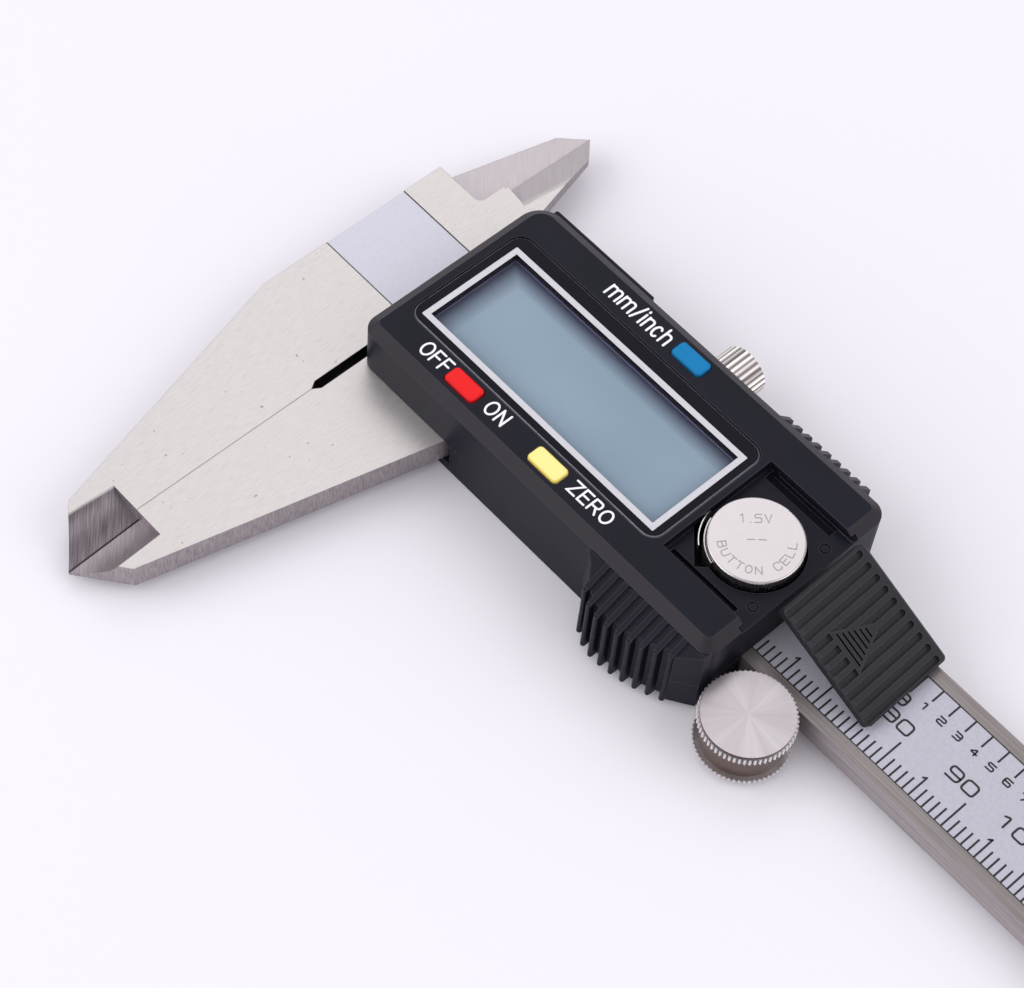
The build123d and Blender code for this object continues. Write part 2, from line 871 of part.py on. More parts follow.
def lock_passage():
    """Clear hole for the lock screw through the case wall and the upper grip side."""
    with BuildPart(mode=Mode.PRIVATE) as passage:
        with BuildSketch(Plane.XZ.offset(-rail_outer_y)):
            with Locations((lock_x, lock_z)):
                Circle(lock_thread_radius + lock_passage_gap)
        extrude(amount=-(case_half - rail_outer_y + overrun))
    return passage.part


# ---------------------------------------------------------------------------
# Rear cover
# ---------------------------------------------------------------------------
with BuildPart() as rear_cover:
    add(case_block(0, face))
    fillet(rear_cover.faces().sort_by(Axis.Z)[0].edges(), rear_edge_radius)
    with BuildSketch(Plane.XY.offset(floor_thickness)):
        with Locations((case_mid, 0)):
            Rectangle(case_length - 2 * wall, case_width - 2 * wall)
    extrude(amount=face, mode=Mode.SUBTRACT)
    add(lower_grip(grip_foot, face))
    add(upper_grip(grip_foot, face))
    # clear the inside again behind the grips
    with BuildSketch(Plane.XY.offset(floor_thickness)):
        with Locations((case_mid, 0)):
            Rectangle(case_length - 2 * wall, case_width - 2 * wall)
    extrude(amount=face, mode=Mode.SUBTRACT)
    # left end: the beam, the moving jaws' root and its web pass through
    with Locations((case_left - overrun, -case_half - overrun, back)):
        Box(
            wall + overrun + frame_play, case_half + overrun + horn_base_y, face,
            align=corner_align, mode=Mode.SUBTRACT,
        )
    # lower side: the jaw leaves the case
    with Locations((case_left - overrun, -case_half - overrun, back)):
        Box(
            jaw_window_right - case_left + overrun, wall + overrun, face,
            align=corner_align, mode=Mode.SUBTRACT,
        )
    # both ends: the beam passes through
    with Locations((case_left - overrun, 0, web_top), (inner_right, 0, web_top)):
        Box(
            wall + overrun, beam_width + 2 * beam_window, face,
            align=(Align.MIN, Align.CENTER, Align.MIN), mode=Mode.SUBTRACT,
        )
    # slot that takes the roller bracket
    with BuildSketch():
        with Locations((bracket_left - bracket_gap, bracket_root_y)):
            Rectangle(
                case_right - bracket_left + 2 * overrun, bracket_width + 2 * bracket_gap,
                align=(Align.MIN, Align.CENTER),
            )
    extrude(amount=bracket_top + bracket_gap, mode=Mode.SUBTRACT)
    add(lock_passage(), mode=Mode.SUBTRACT)
    for spot in case_screw_spots:
        with Locations((*spot, 0)):
            Cone(case_screw_head, case_screw_radius, floor_thickness, align=low_align, mode=Mode.SUBTRACT)
            Cylinder(case_screw_radius, face, align=low_align, mode=Mode.SUBTRACT)
save(rear_cover, "rear_cover")

with BuildPart() as rear_cover_screws:
    for spot in case_screw_spots:
        with Locations((*spot, 0)):
            Cone(case_screw_head, case_screw_radius, floor_thickness, align=low_align)
            Cylinder(case_screw_radius, board_top + case_screw_bite, align=low_align)
    add(cross_recesses(case_screw_spots, cross_depth), mode=Mode.SUBTRACT)
save(rear_cover_screws, "rear_cover_screws")

# ---------------------------------------------------------------------------
# Front housing
# ---------------------------------------------------------------------------
with BuildPart() as front_housing:
    add(case_block(face, case_top))
    top_face = front_housing.faces().sort_by(Axis.Z)[-1]
    chamfer(top_face.edges(), length=bevel_run, length2=bevel_drop, reference=top_face)
    chamfer(front_housing.faces().sort_by(Axis.Z)[0].edges(), seam_chamfer)
    with BuildSketch(Plane.XY.offset(face)):
        with Locations((case_mid, 0)):
            Rectangle(case_length - 2 * wall, case_width - 2 * wall)
    extrude(amount=roof_low - face, mode=Mode.SUBTRACT)
    add(lower_grip(face, under_bevel))
    add(upper_grip(face, under_bevel))
    with BuildSketch(Plane.XY.offset(face)):
        with Locations((case_mid, 0)):
            Rectangle(case_length - 2 * wall, case_width - 2 * wall)
    extrude(amount=roof_low - face, mode=Mode.SUBTRACT)
    # floor and well of the battery bay
    with BuildSketch(Plane.XY.offset(bay_z - bay_floor)):
        with Locations((bay_left - wall, bay_mid_y)):
            Rectangle(inner_right - bay_left + wall, bay_width + 2 * wall, align=(Align.MIN, Align.CENTER))
    extrude(amount=roof_low - bay_z + bay_floor)
    with Locations((cell_x, cell_y, board_top + well_foot_gap)):
        Cylinder(cell_radius + cell_play + well_wall, bay_z - board_top - well_foot_gap, align=low_align)
    for x, y in case_screw_spots:
        with Locations((x, y, board_top)):
            Cylinder(case_boss_radius, roof_low - board_top, align=low_align)
    for x, y in case_screw_spots:
        with Locations((x, y, board_top)):
            Cylinder(
                case_screw_radius, case_screw_bite + thread_end_gap,
                align=low_align, mode=Mode.SUBTRACT,
            )
    with BuildSketch(Plane.XY.offset(bay_z)):
        with Locations((bay_left, bay_mid_y)):
            Rectangle(bay_length + overrun, bay_width, align=(Align.MIN, Align.CENTER))
    extrude(amount=bay_depth, mode=Mode.SUBTRACT)
    with BuildSketch(Plane.XY.offset(bay_z + slot_lift)):
        with Locations((bay_left + slot_start, bay_mid_y)):
            Rectangle(bay_length, bay_width + 2 * slot_reach, align=(Align.MIN, Align.CENTER))
    extrude(amount=slot_height, mode=Mode.SUBTRACT)
    # channels for the cover's rails along both sides of the bay
    channel_length = bay_length - channel_start - channel_end_inset
    for side in (-1, 1):
        channel_y = bay_mid_y + side * (bay_width - channel_width) / 2
        with Locations((bay_left + channel_start, channel_y, bay_z)):
            Box(
                channel_length, channel_width, channel_depth,
                align=(Align.MIN, Align.CENTER, Align.MAX), mode=Mode.SUBTRACT,
            )
    with Locations((cell_x, cell_y, board_top)):
        Cylinder(cell_radius + cell_play, case_rise, align=low_align, mode=Mode.SUBTRACT)
    with Locations(Location((cell_x, cell_y, board_top), (0, 0, spring_turn))):
        with Locations((-cell_radius, 0)):
            Box(
                spring_pocket_depth, spring_width + 2 * spring_gap, bay_z - board_top,
                align=low_align, mode=Mode.SUBTRACT,
            )
    with BuildSketch(Plane.XY.offset(bay_z)):
        with Locations((dimple_x, dimple_y), (dimple_x, -dimple_y)):
            Circle(dimple_radius)
            Circle(dimple_radius - dimple_line, mode=Mode.SUBTRACT)
    extrude(amount=-dimple_line, mode=Mode.SUBTRACT)
    # recess for the window, and the sight opening below it
    with BuildSketch(Plane.XY.offset(window_low_z)):
        with Locations(((window_left + window_right) / 2, (window_low + window_high) / 2)):
            RectangleRounded(window_right - window_left, window_high - window_low, window_corner)
    extrude(amount=case_top - window_low_z + overrun, mode=Mode.SUBTRACT)
    with BuildSketch(Plane.XY.offset(roof_low)):
        with Locations(((sight_left + sight_right) / 2, (sight_low + sight_high) / 2)):
            Rectangle(sight_right - sight_left, sight_high - sight_low)
    extrude(amount=roof, mode=Mode.SUBTRACT)
    # button holes
    with BuildSketch(Plane.XY.offset(roof_low)):
        with Locations(*button_spots.values()):
            RectangleRounded(
                button_long + 2 * button_play, button_short + 2 * button_play, button_corner + button_play
            )
    extrude(amount=roof, mode=Mode.SUBTRACT)
    # the beam runs below the end walls
    with Locations((case_left - overrun, 0, face)):
        Box(
            case_length + 2 * overrun, beam_width + 2 * beam_window, beam_headroom,
            align=(Align.MIN, Align.CENTER, Align.MIN), mode=Mode.SUBTRACT,
        )
    # data port and the slot in which its cover slides
    with Locations((port_left, inner_half, board_top - port_low)):
        Box(port_width, wall + overrun, port_height + port_low, align=corner_align, mode=Mode.SUBTRACT)
    with Locations((hook_left - port_play, inner_half - overrun, hook_z)):
        Box(
            hook_length + port_travel + 2 * port_play, wall + 2 * overrun, 2 * (hook_neck + port_play),
            align=(Align.MIN, Align.MIN, Align.CENTER), mode=Mode.SUBTRACT,
        )
    add(lock_passage(), mode=Mode.SUBTRACT)
save(front_housing, "front_housing")

with BuildPart() as display_window:
    with BuildSketch(Plane.XY.offset(window_low_z)):
        with Locations(((window_left + window_right) / 2, (window_low + window_high) / 2)):
            RectangleRounded(
                window_right - window_left - 2 * window_play,
                window_high - window_low - 2 * window_play,
                window_corner - window_play,
            )
    extrude(amount=window_thickness)
    chamfer(display_window.faces().sort_by(Axis.Z)[-1].edges(), window_edge)
save(display_window, "display_window")

# ---------------------------------------------------------------------------
# Electronics
# ---------------------------------------------------------------------------
lcd_mid_x = (sight_left + sight_right) / 2
lcd_mid_y = (sight_low + sight_high) / 2
lcd_width = sight_high - sight_low + 2 * lcd_margin
with BuildPart() as lcd_panel:
    with Locations((lcd_mid_x, lcd_mid_y, lcd_low)):
        Box(sight_right - sight_left + 2 * lcd_margin, lcd_width, lcd_thickness, align=low_align)
save(lcd_panel, "lcd_panel")

with BuildPart() as zebra_strips:
    for side in (-1, 1):
        with Locations((lcd_mid_x, lcd_mid_y + side * (lcd_width - zebra_width) / 2, board_top)):
            Box(sight_right - sight_left, zebra_width, lcd_low - board_top, align=low_align)
save(zebra_strips, "zebra_strips")

with BuildPart() as circuit_board:
    with BuildSketch(Plane.XY.offset(board_low)):
        with Locations(((frame_left + frame_right) / 2, 0)):
            RectangleRounded(frame_length, 2 * rail_outer_y, board_corner)
        with Locations((lock_x, rail_outer_y)):
            Rectangle(
                2 * (lock_boss_half + frame_play),
                2 * (rail_outer_y - gib_outer_y + frame_play),
                mode=Mode.SUBTRACT,
            )
        with Locations(*case_screw_spots):
            Circle(case_screw_hole, mode=Mode.SUBTRACT)
    extrude(amount=board_thickness)
save(circuit_board, "circuit_board")

with BuildPart() as chip:
    with Locations((lcd_mid_x, lcd_mid_y, board_top)):
        Cylinder(chip_radius, chip_height, align=low_align)
    fillet(chip.faces().sort_by(Axis.Z)[-1].edges(), chip_height / 2)
save(chip, "chip")

with BuildPart() as tact_switches:
    for x, y in button_spots.values():
        with Locations((x, y, board_top)):
            Box(switch_size, switch_depth, switch_top - board_top - switch_stem, align=low_align)
            Cylinder(switch_depth / 3, switch_top - board_top, align=low_align)
save(tact_switches, "tact_switches")

with BuildPart() as contact_minus:
    with BuildSketch(Plane.XY.offset(board_top)):
        with Locations((cell_x, cell_y)):
            Circle(minus_pad_radius)
    extrude(amount=cell_low - board_top - spring_gap)
save(contact_minus, "contact_minus")

with BuildPart() as contact_plus:
    with BuildSketch(Plane.XY.offset(board_top)):
        with Locations((cell_x, cell_y)):
            Circle(cell_radius + spring_gap + spring_sheet)
            Circle(cell_radius + spring_gap, mode=Mode.SUBTRACT)
        with Locations(Location((cell_x, cell_y), spring_turn)):
            Rectangle(2 * cell_radius, spring_width, align=(Align.MAX, Align.CENTER), mode=Mode.INTERSECT)
    extrude(amount=bay_z + spring_rise - board_top)
save(contact_plus, "contact_plus")

with BuildPart() as port_contacts:
    contact_pitch = port_width / 4
    for index in range(4):
        with Locations((port_left + (index + 0.5) * contact_pitch, rail_outer_y, board_top)):
            Box(
                contact_pitch / 2, contact_length, contact_height,
                align=(Align.CENTER, Align.MAX, Align.MIN),
            )
save(port_contacts, "port_contacts")

with BuildPart() as button_cell:
    with Locations((cell_x, cell_y, cell_low)):
        Cylinder(cell_radius, cell_height, align=low_align)
    fillet(button_cell.edges().filter_by(GeomType.CIRCLE), cell_edge)
save(button_cell, "button_cell")

# ---------------------------------------------------------------------------
# Buttons: a cap through the housing and a flange under its roof
# ---------------------------------------------------------------------------
for name, spot in button_spots.items():
    with BuildPart() as button:
        with BuildSketch(Plane.XY.offset(button_low)):
            with Locations(spot):
                RectangleRounded(button_long, button_short, button_corner)
        extrude(amount=case_top + button_rise - button_low)
        fillet(button.faces().sort_by(Axis.Z)[-1].edges(), button_edge)
        with BuildSketch(Plane.XY.offset(roof_low - button_flange_gap - button_flange_thickness)):
            with Locations(spot):
                Rectangle(button_long + 2 * button_flange, button_short + 2 * button_flange_side)
        extrude(amount=button_flange_thickness)
    save(button, name)

# ---------------------------------------------------------------------------
# Data port cover, sliding along the upper side
# ---------------------------------------------------------------------------
with BuildPart() as port_cover:
    cover_y = case_half + port_play
    with Locations((port_cover_left, cover_y, face + port_cover_low)):
        Box(
            port_cover_length, port_cover_out - cover_y, port_cover_height,
            align=corner_align,
        )
    outer_edges = port_cover.faces().sort_by(Axis.Y)[-1].edges()
    fillet(outer_edges, port_cover_edge)
    with Locations((hook_left, inner_half - port_play, hook_z)):
        Box(
            hook_length, cover_y - inner_half + port_play, 2 * hook_neck,
            align=(Align.MIN, Align.MIN, Align.CENTER),
        )
    with Locations((hook_left, inner_half - port_play, hook_z)):
        Box(hook_length, hook_depth, 2 * hook_head, align=(Align.MIN, Align.MAX, Align.CENTER))
save(port_cover, "port_cover")

# ---------------------------------------------------------------------------
# Lock screw and thumb roller
# ---------------------------------------------------------------------------
with BuildPart() as lock_screw:
    with BuildSketch(Plane.XZ.offset(-lock_head_start)):
        with Locations((lock_x, lock_z)):
            Polygon(gear_outline(lock_head_radius, lock_tooth_depth, lock_teeth), align=None)
    extrude(amount=-lock_head_length)
    # the head is turned: its outer end is domed
    with BuildSketch(Plane.XY.offset(lock_z)):
        with BuildLine():
            dome = ThreePointArc(
                (lock_x, lock_head_end),
                (lock_x + lock_dome_knee, lock_head_end - lock_dome_fall),
                (lock_rim_x, lock_head_end - lock_dome),
            )
            Polyline(
                dome @ 1,
                (lock_rim_x, lock_head_start - overrun),
                (lock_x, lock_head_start - overrun),
                dome @ 0,
            )
        make_face()
    revolve(axis=Axis((lock_x, 0, lock_z), (0, 1, 0)), mode=Mode.INTERSECT)
    with BuildSketch(Plane.XZ.offset(-(gib_outer_y + gib_play))):
        with Locations((lock_x, lock_z)):
            Circle(lock_thread_radius)
    extrude(amount=-(lock_head_start + overrun - gib_outer_y - gib_play))
save(lock_screw, "lock_screw")

with BuildPart() as thumb_roller:
    with BuildSketch(Plane.XY.offset(roller_bottom)):
        with Locations((roller_x, roller_y)):
            Polygon(gear_outline(roller_disc_radius, roller_tooth_depth, roller_teeth), align=None)
    extrude(amount=roller_low_disc - roller_bottom)
    with BuildSketch(Plane.XY.offset(roller_low_disc)):
        with Locations((roller_x, roller_y)):
            Circle(roller_core_radius)
    extrude(amount=roller_top_disc - roller_low_disc)
    with BuildSketch(Plane.XY.offset(roller_top_disc)):
        with Locations((roller_x, roller_y)):
            Polygon(gear_outline(roller_disc_radius, roller_tooth_depth, roller_teeth), align=None)
    extrude(amount=roller_top - roller_rim - roller_top_disc)
    with BuildSketch(Plane.XY.offset(roller_top - roller_rim)):
        with Locations((roller_x, roller_y)):
            Circle(roller_top_radius)
    extrude(amount=roller_rim)
    with Locations((roller_x, roller_y, roller_bottom)):
        Cylinder(
            axle_radius + running_gap, axle_top + running_gap - roller_bottom,
            align=low_align, mode=Mode.SUBTRACT,
        )
save(thumb_roller, "thumb_roller")

with BuildPart() as roller_axle:
    with Locations((roller_x, roller_y, bracket_low)):
        Cylinder(axle_radius, axle_top - bracket_low, align=low_align)
save(roller_axle, "roller_axle")

with BuildPart() as roller_bracket:
    with BuildSketch(Plane.XY.offset(bracket_low)):
        with BuildLine():
            Polyline(
                (bracket_left, bracket_root_y - bracket_width / 2),
                (case_right, bracket_root_y - bracket_width / 2),
                (roller_x, roller_y - bracket_eye_radius),
                (roller_x, roller_y + bracket_eye_radius),
                (case_right, bracket_root_y + bracket_width / 2),
                (bracket_left, bracket_root_y + bracket_width / 2),
                close=True,
            )
        make_face()
        with Locations((roller_x, roller_y)):
            Circle(bracket_eye_radius)
            Circle(axle_radius, mode=Mode.SUBTRACT)
        with Locations((bracket_screw_x, bracket_root_y)):
            Circle(small_screw_radius, mode=Mode.SUBTRACT)
    extrude(amount=bracket_thickness)
save(roller_bracket, "roller_bracket")

with BuildPart() as bracket_screw:
    with Locations((bracket_screw_x, bracket_root_y, bracket_low)):
        Cylinder(small_screw_radius, bracket_thickness + bracket_thread - thread_end_gap, align=low_align)
    with Locations((bracket_screw_x, bracket_root_y, bracket_low)):
        Cylinder(small_head_radius, bracket_low, align=(Align.CENTER, Align.CENTER, Align.MAX))
    add(cross_recesses([(bracket_screw_x, bracket_root_y)], bracket_low), mode=Mode.SUBTRACT)
save(bracket_screw, "bracket_screw")

# ---------------------------------------------------------------------------
# Battery cover, taken off and leaning between the case's end and the beam
# ---------------------------------------------------------------------------
tilt = math.radians(cover_tilt)
yaw = math.radians(cover_yaw)
along = Vector(math.cos(tilt) * math.cos(yaw), math.cos(tilt) * math.sin(yaw), -math.sin(tilt))
normal = Vector(math.sin(tilt) * math.cos(yaw), math.sin(tilt) * math.sin(yaw), math.cos(tilt))
# the lower right edge rests on the beam, and the plate's own origin is its middle, on its underside
right_edge = Vector(case_right + cover_reach, cover_mid_y, face + cover_rest_gap)
cover_middle = right_edge - along * (cover_length / 2)


def cover_plane(height):
    """Plane parallel to the cover's underside, a height above it."""
    return Plane(origin=cover_middle + normal * height, x_dir=along, z_dir=normal)


def cover_arrow(margin):
    """Corners of the arrow on the cover, its apex towards +Y, with a margin around it."""
    return [
        (-cover_arrow_base / 2 - margin, -cover_arrow_low - margin),
        (cover_arrow_base / 2 + margin, -cover_arrow_low - margin),
        (0, cover_arrow_high + margin),
    ]


arrow_height = cover_arrow_low + cover_arrow_high
hatch_pitch = arrow_height / (cover_hatch_count + 1)
with BuildPart() as battery_cover:
    with BuildSketch(cover_plane(0)):
        RectangleRounded(cover_length, cover_width, cover_corner)
    extrude(amount=cover_thickness)
    outer_face = battery_cover.faces().sort_by_distance(cover_middle + normal * cover_length)[0]
    chamfer(outer_face.edges(), cover_chamfer)
    with BuildSketch(cover_plane(cover_thickness - cover_groove_depth)):
        for index in range(cover_groove_count):
            groove_x = (index - (cover_groove_count - 1) / 2) * cover_groove_pitch
            with Locations((groove_x, -cover_rim)):
                SlotOverall(cover_width, cover_groove_width, rotation=90)
        with BuildLine():
            Polyline(*cover_arrow(cover_arrow_margin), close=True)
        make_face(mode=Mode.SUBTRACT)
        # hatching of the arrow, each line as long as the arrow is wide there
        for index in range(cover_hatch_count):
            share = 1 - index * hatch_pitch / arrow_height
            with Locations((0, index * hatch_pitch - cover_arrow_low)):
                Rectangle(cover_arrow_base * share, cover_hatch_width)
    extrude(amount=cover_groove_depth, mode=Mode.SUBTRACT)
    for side in (-1, 1):
        with BuildSketch(cover_plane(0)):
            rail_y = side * (cover_width / 2 - cover_rail_inset)
            with Locations((cover_rail_inset - cover_length / 2, rail_y)):
                Rectangle(
                    cover_length - cover_rail_inset - cover_rail_stop, cover_rail_width,
                    align=(Align.MIN, Align.MAX if side > 0 else Align.MIN),
                )
        extrude(amount=-cover_rail_depth)
save(battery_cover, "battery_cover")
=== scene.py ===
"""Digital caliper with depth rod: finishes of every surface, printing and fine pieces.

Lengths are in millimetres and become metres through MM, but the softboxes' are in metres.
X runs along the beam, +Y is the side of the inside jaws and +Z points up from the slider's back.
"""
import math

import bpy
import numpy as np
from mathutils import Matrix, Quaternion, Vector


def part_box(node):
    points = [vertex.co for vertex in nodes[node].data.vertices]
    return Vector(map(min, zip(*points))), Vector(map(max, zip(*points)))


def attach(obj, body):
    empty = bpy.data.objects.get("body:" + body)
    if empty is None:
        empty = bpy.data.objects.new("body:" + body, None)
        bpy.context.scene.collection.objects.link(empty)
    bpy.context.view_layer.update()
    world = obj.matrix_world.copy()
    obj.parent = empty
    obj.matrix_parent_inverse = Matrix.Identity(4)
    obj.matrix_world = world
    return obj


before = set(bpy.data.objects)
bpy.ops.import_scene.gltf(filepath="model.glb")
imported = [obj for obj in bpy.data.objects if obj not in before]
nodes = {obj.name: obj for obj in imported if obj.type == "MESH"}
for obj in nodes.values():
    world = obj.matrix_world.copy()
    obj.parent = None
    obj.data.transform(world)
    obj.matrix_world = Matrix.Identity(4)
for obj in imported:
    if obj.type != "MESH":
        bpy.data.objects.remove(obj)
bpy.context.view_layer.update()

MM = 0.001
scene = bpy.context.scene


def corner(node, side):
    """Low (0) or high (1) corner of a CAD node's box in millimetres."""
    return np.array(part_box(node)[side]) / MM


FACE_TOP = corner("beam", 1)[2]
# the slot between the jaws: half its width, and the Y at which it ends
SLOT_HALF, SLOT_END = 0.65, -22.0
# X over which the beam's lapped face gives way to the ground one, and the Y of the horns' foot
CASE_END, GUIDE_START = 50.0, 58.0
HORN_FOOT = -30.0


# ---------------------------------------------------------------------------
# Colour and node helpers. A MapRange node's list is its value, the two values to change from
# and the two to change to.
# ---------------------------------------------------------------------------
def linear(hex_colour):
    """sRGB hex to linear light: c / 12.92 up to 0.04045, else ((c + 0.055) / 1.055) ^ 2.4."""
    values = [int(hex_colour[i:i + 2], 16) / 255 for i in (1, 3, 5)]
    return (*[c / 12.92 if c <= 0.04045 else ((c + 0.055) / 1.055) ** 2.4 for c in values], 1.0)


def darker(colour, share):
    """A hex colour as linear light, at a share of its strength."""
    return (*[share * c for c in linear(colour)[:3]], 1.0)


def connect(tree, node, inputs):
    """Give a node its inputs, by name or as a list in the node's own order. A socket is linked,
    so is the first output in use of a node, a hex colour is made linear, the rest is set."""
    sockets = [socket for socket in node.inputs if socket.enabled]
    if isinstance(inputs, dict):
        named = {socket.name: socket for socket in sockets}
        pairs = [(named[key], value) for key, value in inputs.items()]
    else:
        pairs = zip(sockets, inputs)
    for socket, value in pairs:
        if isinstance(value, bpy.types.Node):
            value = next(output for output in value.outputs if output.enabled)
        if isinstance(value, bpy.types.NodeSocket):
            tree.links.new(value, socket)
        else:
            socket.default_value = linear(value) if isinstance(value, str) else value


def add_node(tree, kind, inputs=(), stops=(), **settings):
    """Add one shader node with its settings and inputs, and a colour ramp's (position, colour)
    stops."""
    node = tree.nodes.new("ShaderNode" + kind)
    for key, value in settings.items():
        setattr(node, key, value)
    for place, (position, colour) in enumerate(stops):
        elements = node.color_ramp.elements
        element = elements[place] if place < len(elements) else elements.new(position)
        element.position = position
        element.color = linear(colour) if isinstance(colour, str) else colour
    connect(tree, node, inputs)
    return node


def new_material(name, **inputs):
    """A Principled material with the given socket values; returns material, tree and shader."""
    material = bpy.data.materials.new(name)
    material.use_nodes = True
    tree = material.node_tree
    shader = tree.nodes["Principled BSDF"]
    connect(tree, shader, {key.replace("_", " "): value for key, value in inputs.items()})
    return material, tree, shader


def mm_coordinates(tree, stretch=(1, 1, 1), centre=(0, 0, 0)):
    """Object coordinates in millimetres about a centre, each axis times its stretch."""
    coordinate = add_node(tree, "TexCoord")
    scale = [s / MM for s in stretch]
    offset = [-c * s for c, s in zip(centre, stretch)]
    mapping = add_node(tree, "Mapping", {"Vector": coordinate.outputs["Object"], "Scale": scale,
        "Location": offset})
    return mapping.outputs["Vector"]


def bump(tree, shader, height, strength, depth):
    """Relief of the given depth in millimetres on a shader, its edges rounded by 0.12 mm."""
    rounded = add_node(tree, "Bevel", {"Radius": 0.12 * MM}, samples=4)
    node = add_node(tree, "Bump", {"Strength": strength, "Distance": depth * MM, "Height": height,
        "Normal": rounded})
    connect(tree, shader, {"Normal": node})


def rubbed_edge(tree, radius):
    """1 along edges: within the radius the rounded normal leaves the true one."""
    rounded = add_node(tree, "Bevel", {"Radius": radius * MM}, samples=4)
    geometry = add_node(tree, "NewGeometry")
    same = add_node(tree, "VectorMath", [rounded, geometry.outputs["Normal"]],
        operation="DOT_PRODUCT")
    return add_node(tree, "MapRange", [same, 0.85, 0.99, 1.0, 0.0])


def facing_up(tree):
    """1 on faces that look straight up or down, 0 on upright edges."""
    coordinate = add_node(tree, "TexCoord")
    parts = add_node(tree, "SeparateXYZ", {"Vector": coordinate.outputs["Normal"]})
    return add_node(tree, "Math", [parts.outputs["Z"]], operation="ABSOLUTE")


# ---------------------------------------------------------------------------
# Materials
# ---------------------------------------------------------------------------
def turned_coordinates(tree, along, angle):
    """Object coordinates in millimetres turned about Z, with the first axis and Z times along,
    so that a streak runs on down a slope."""
    coordinate = add_node(tree, "TexCoord")
    mapping = add_node(tree, "Mapping", {"Vector": coordinate.outputs["Object"],
        "Rotation": (0, 0, math.radians(angle)), "Scale": (MM / along, MM, MM / along)},
        vector_type="TEXTURE")
    return mapping.outputs["Vector"]


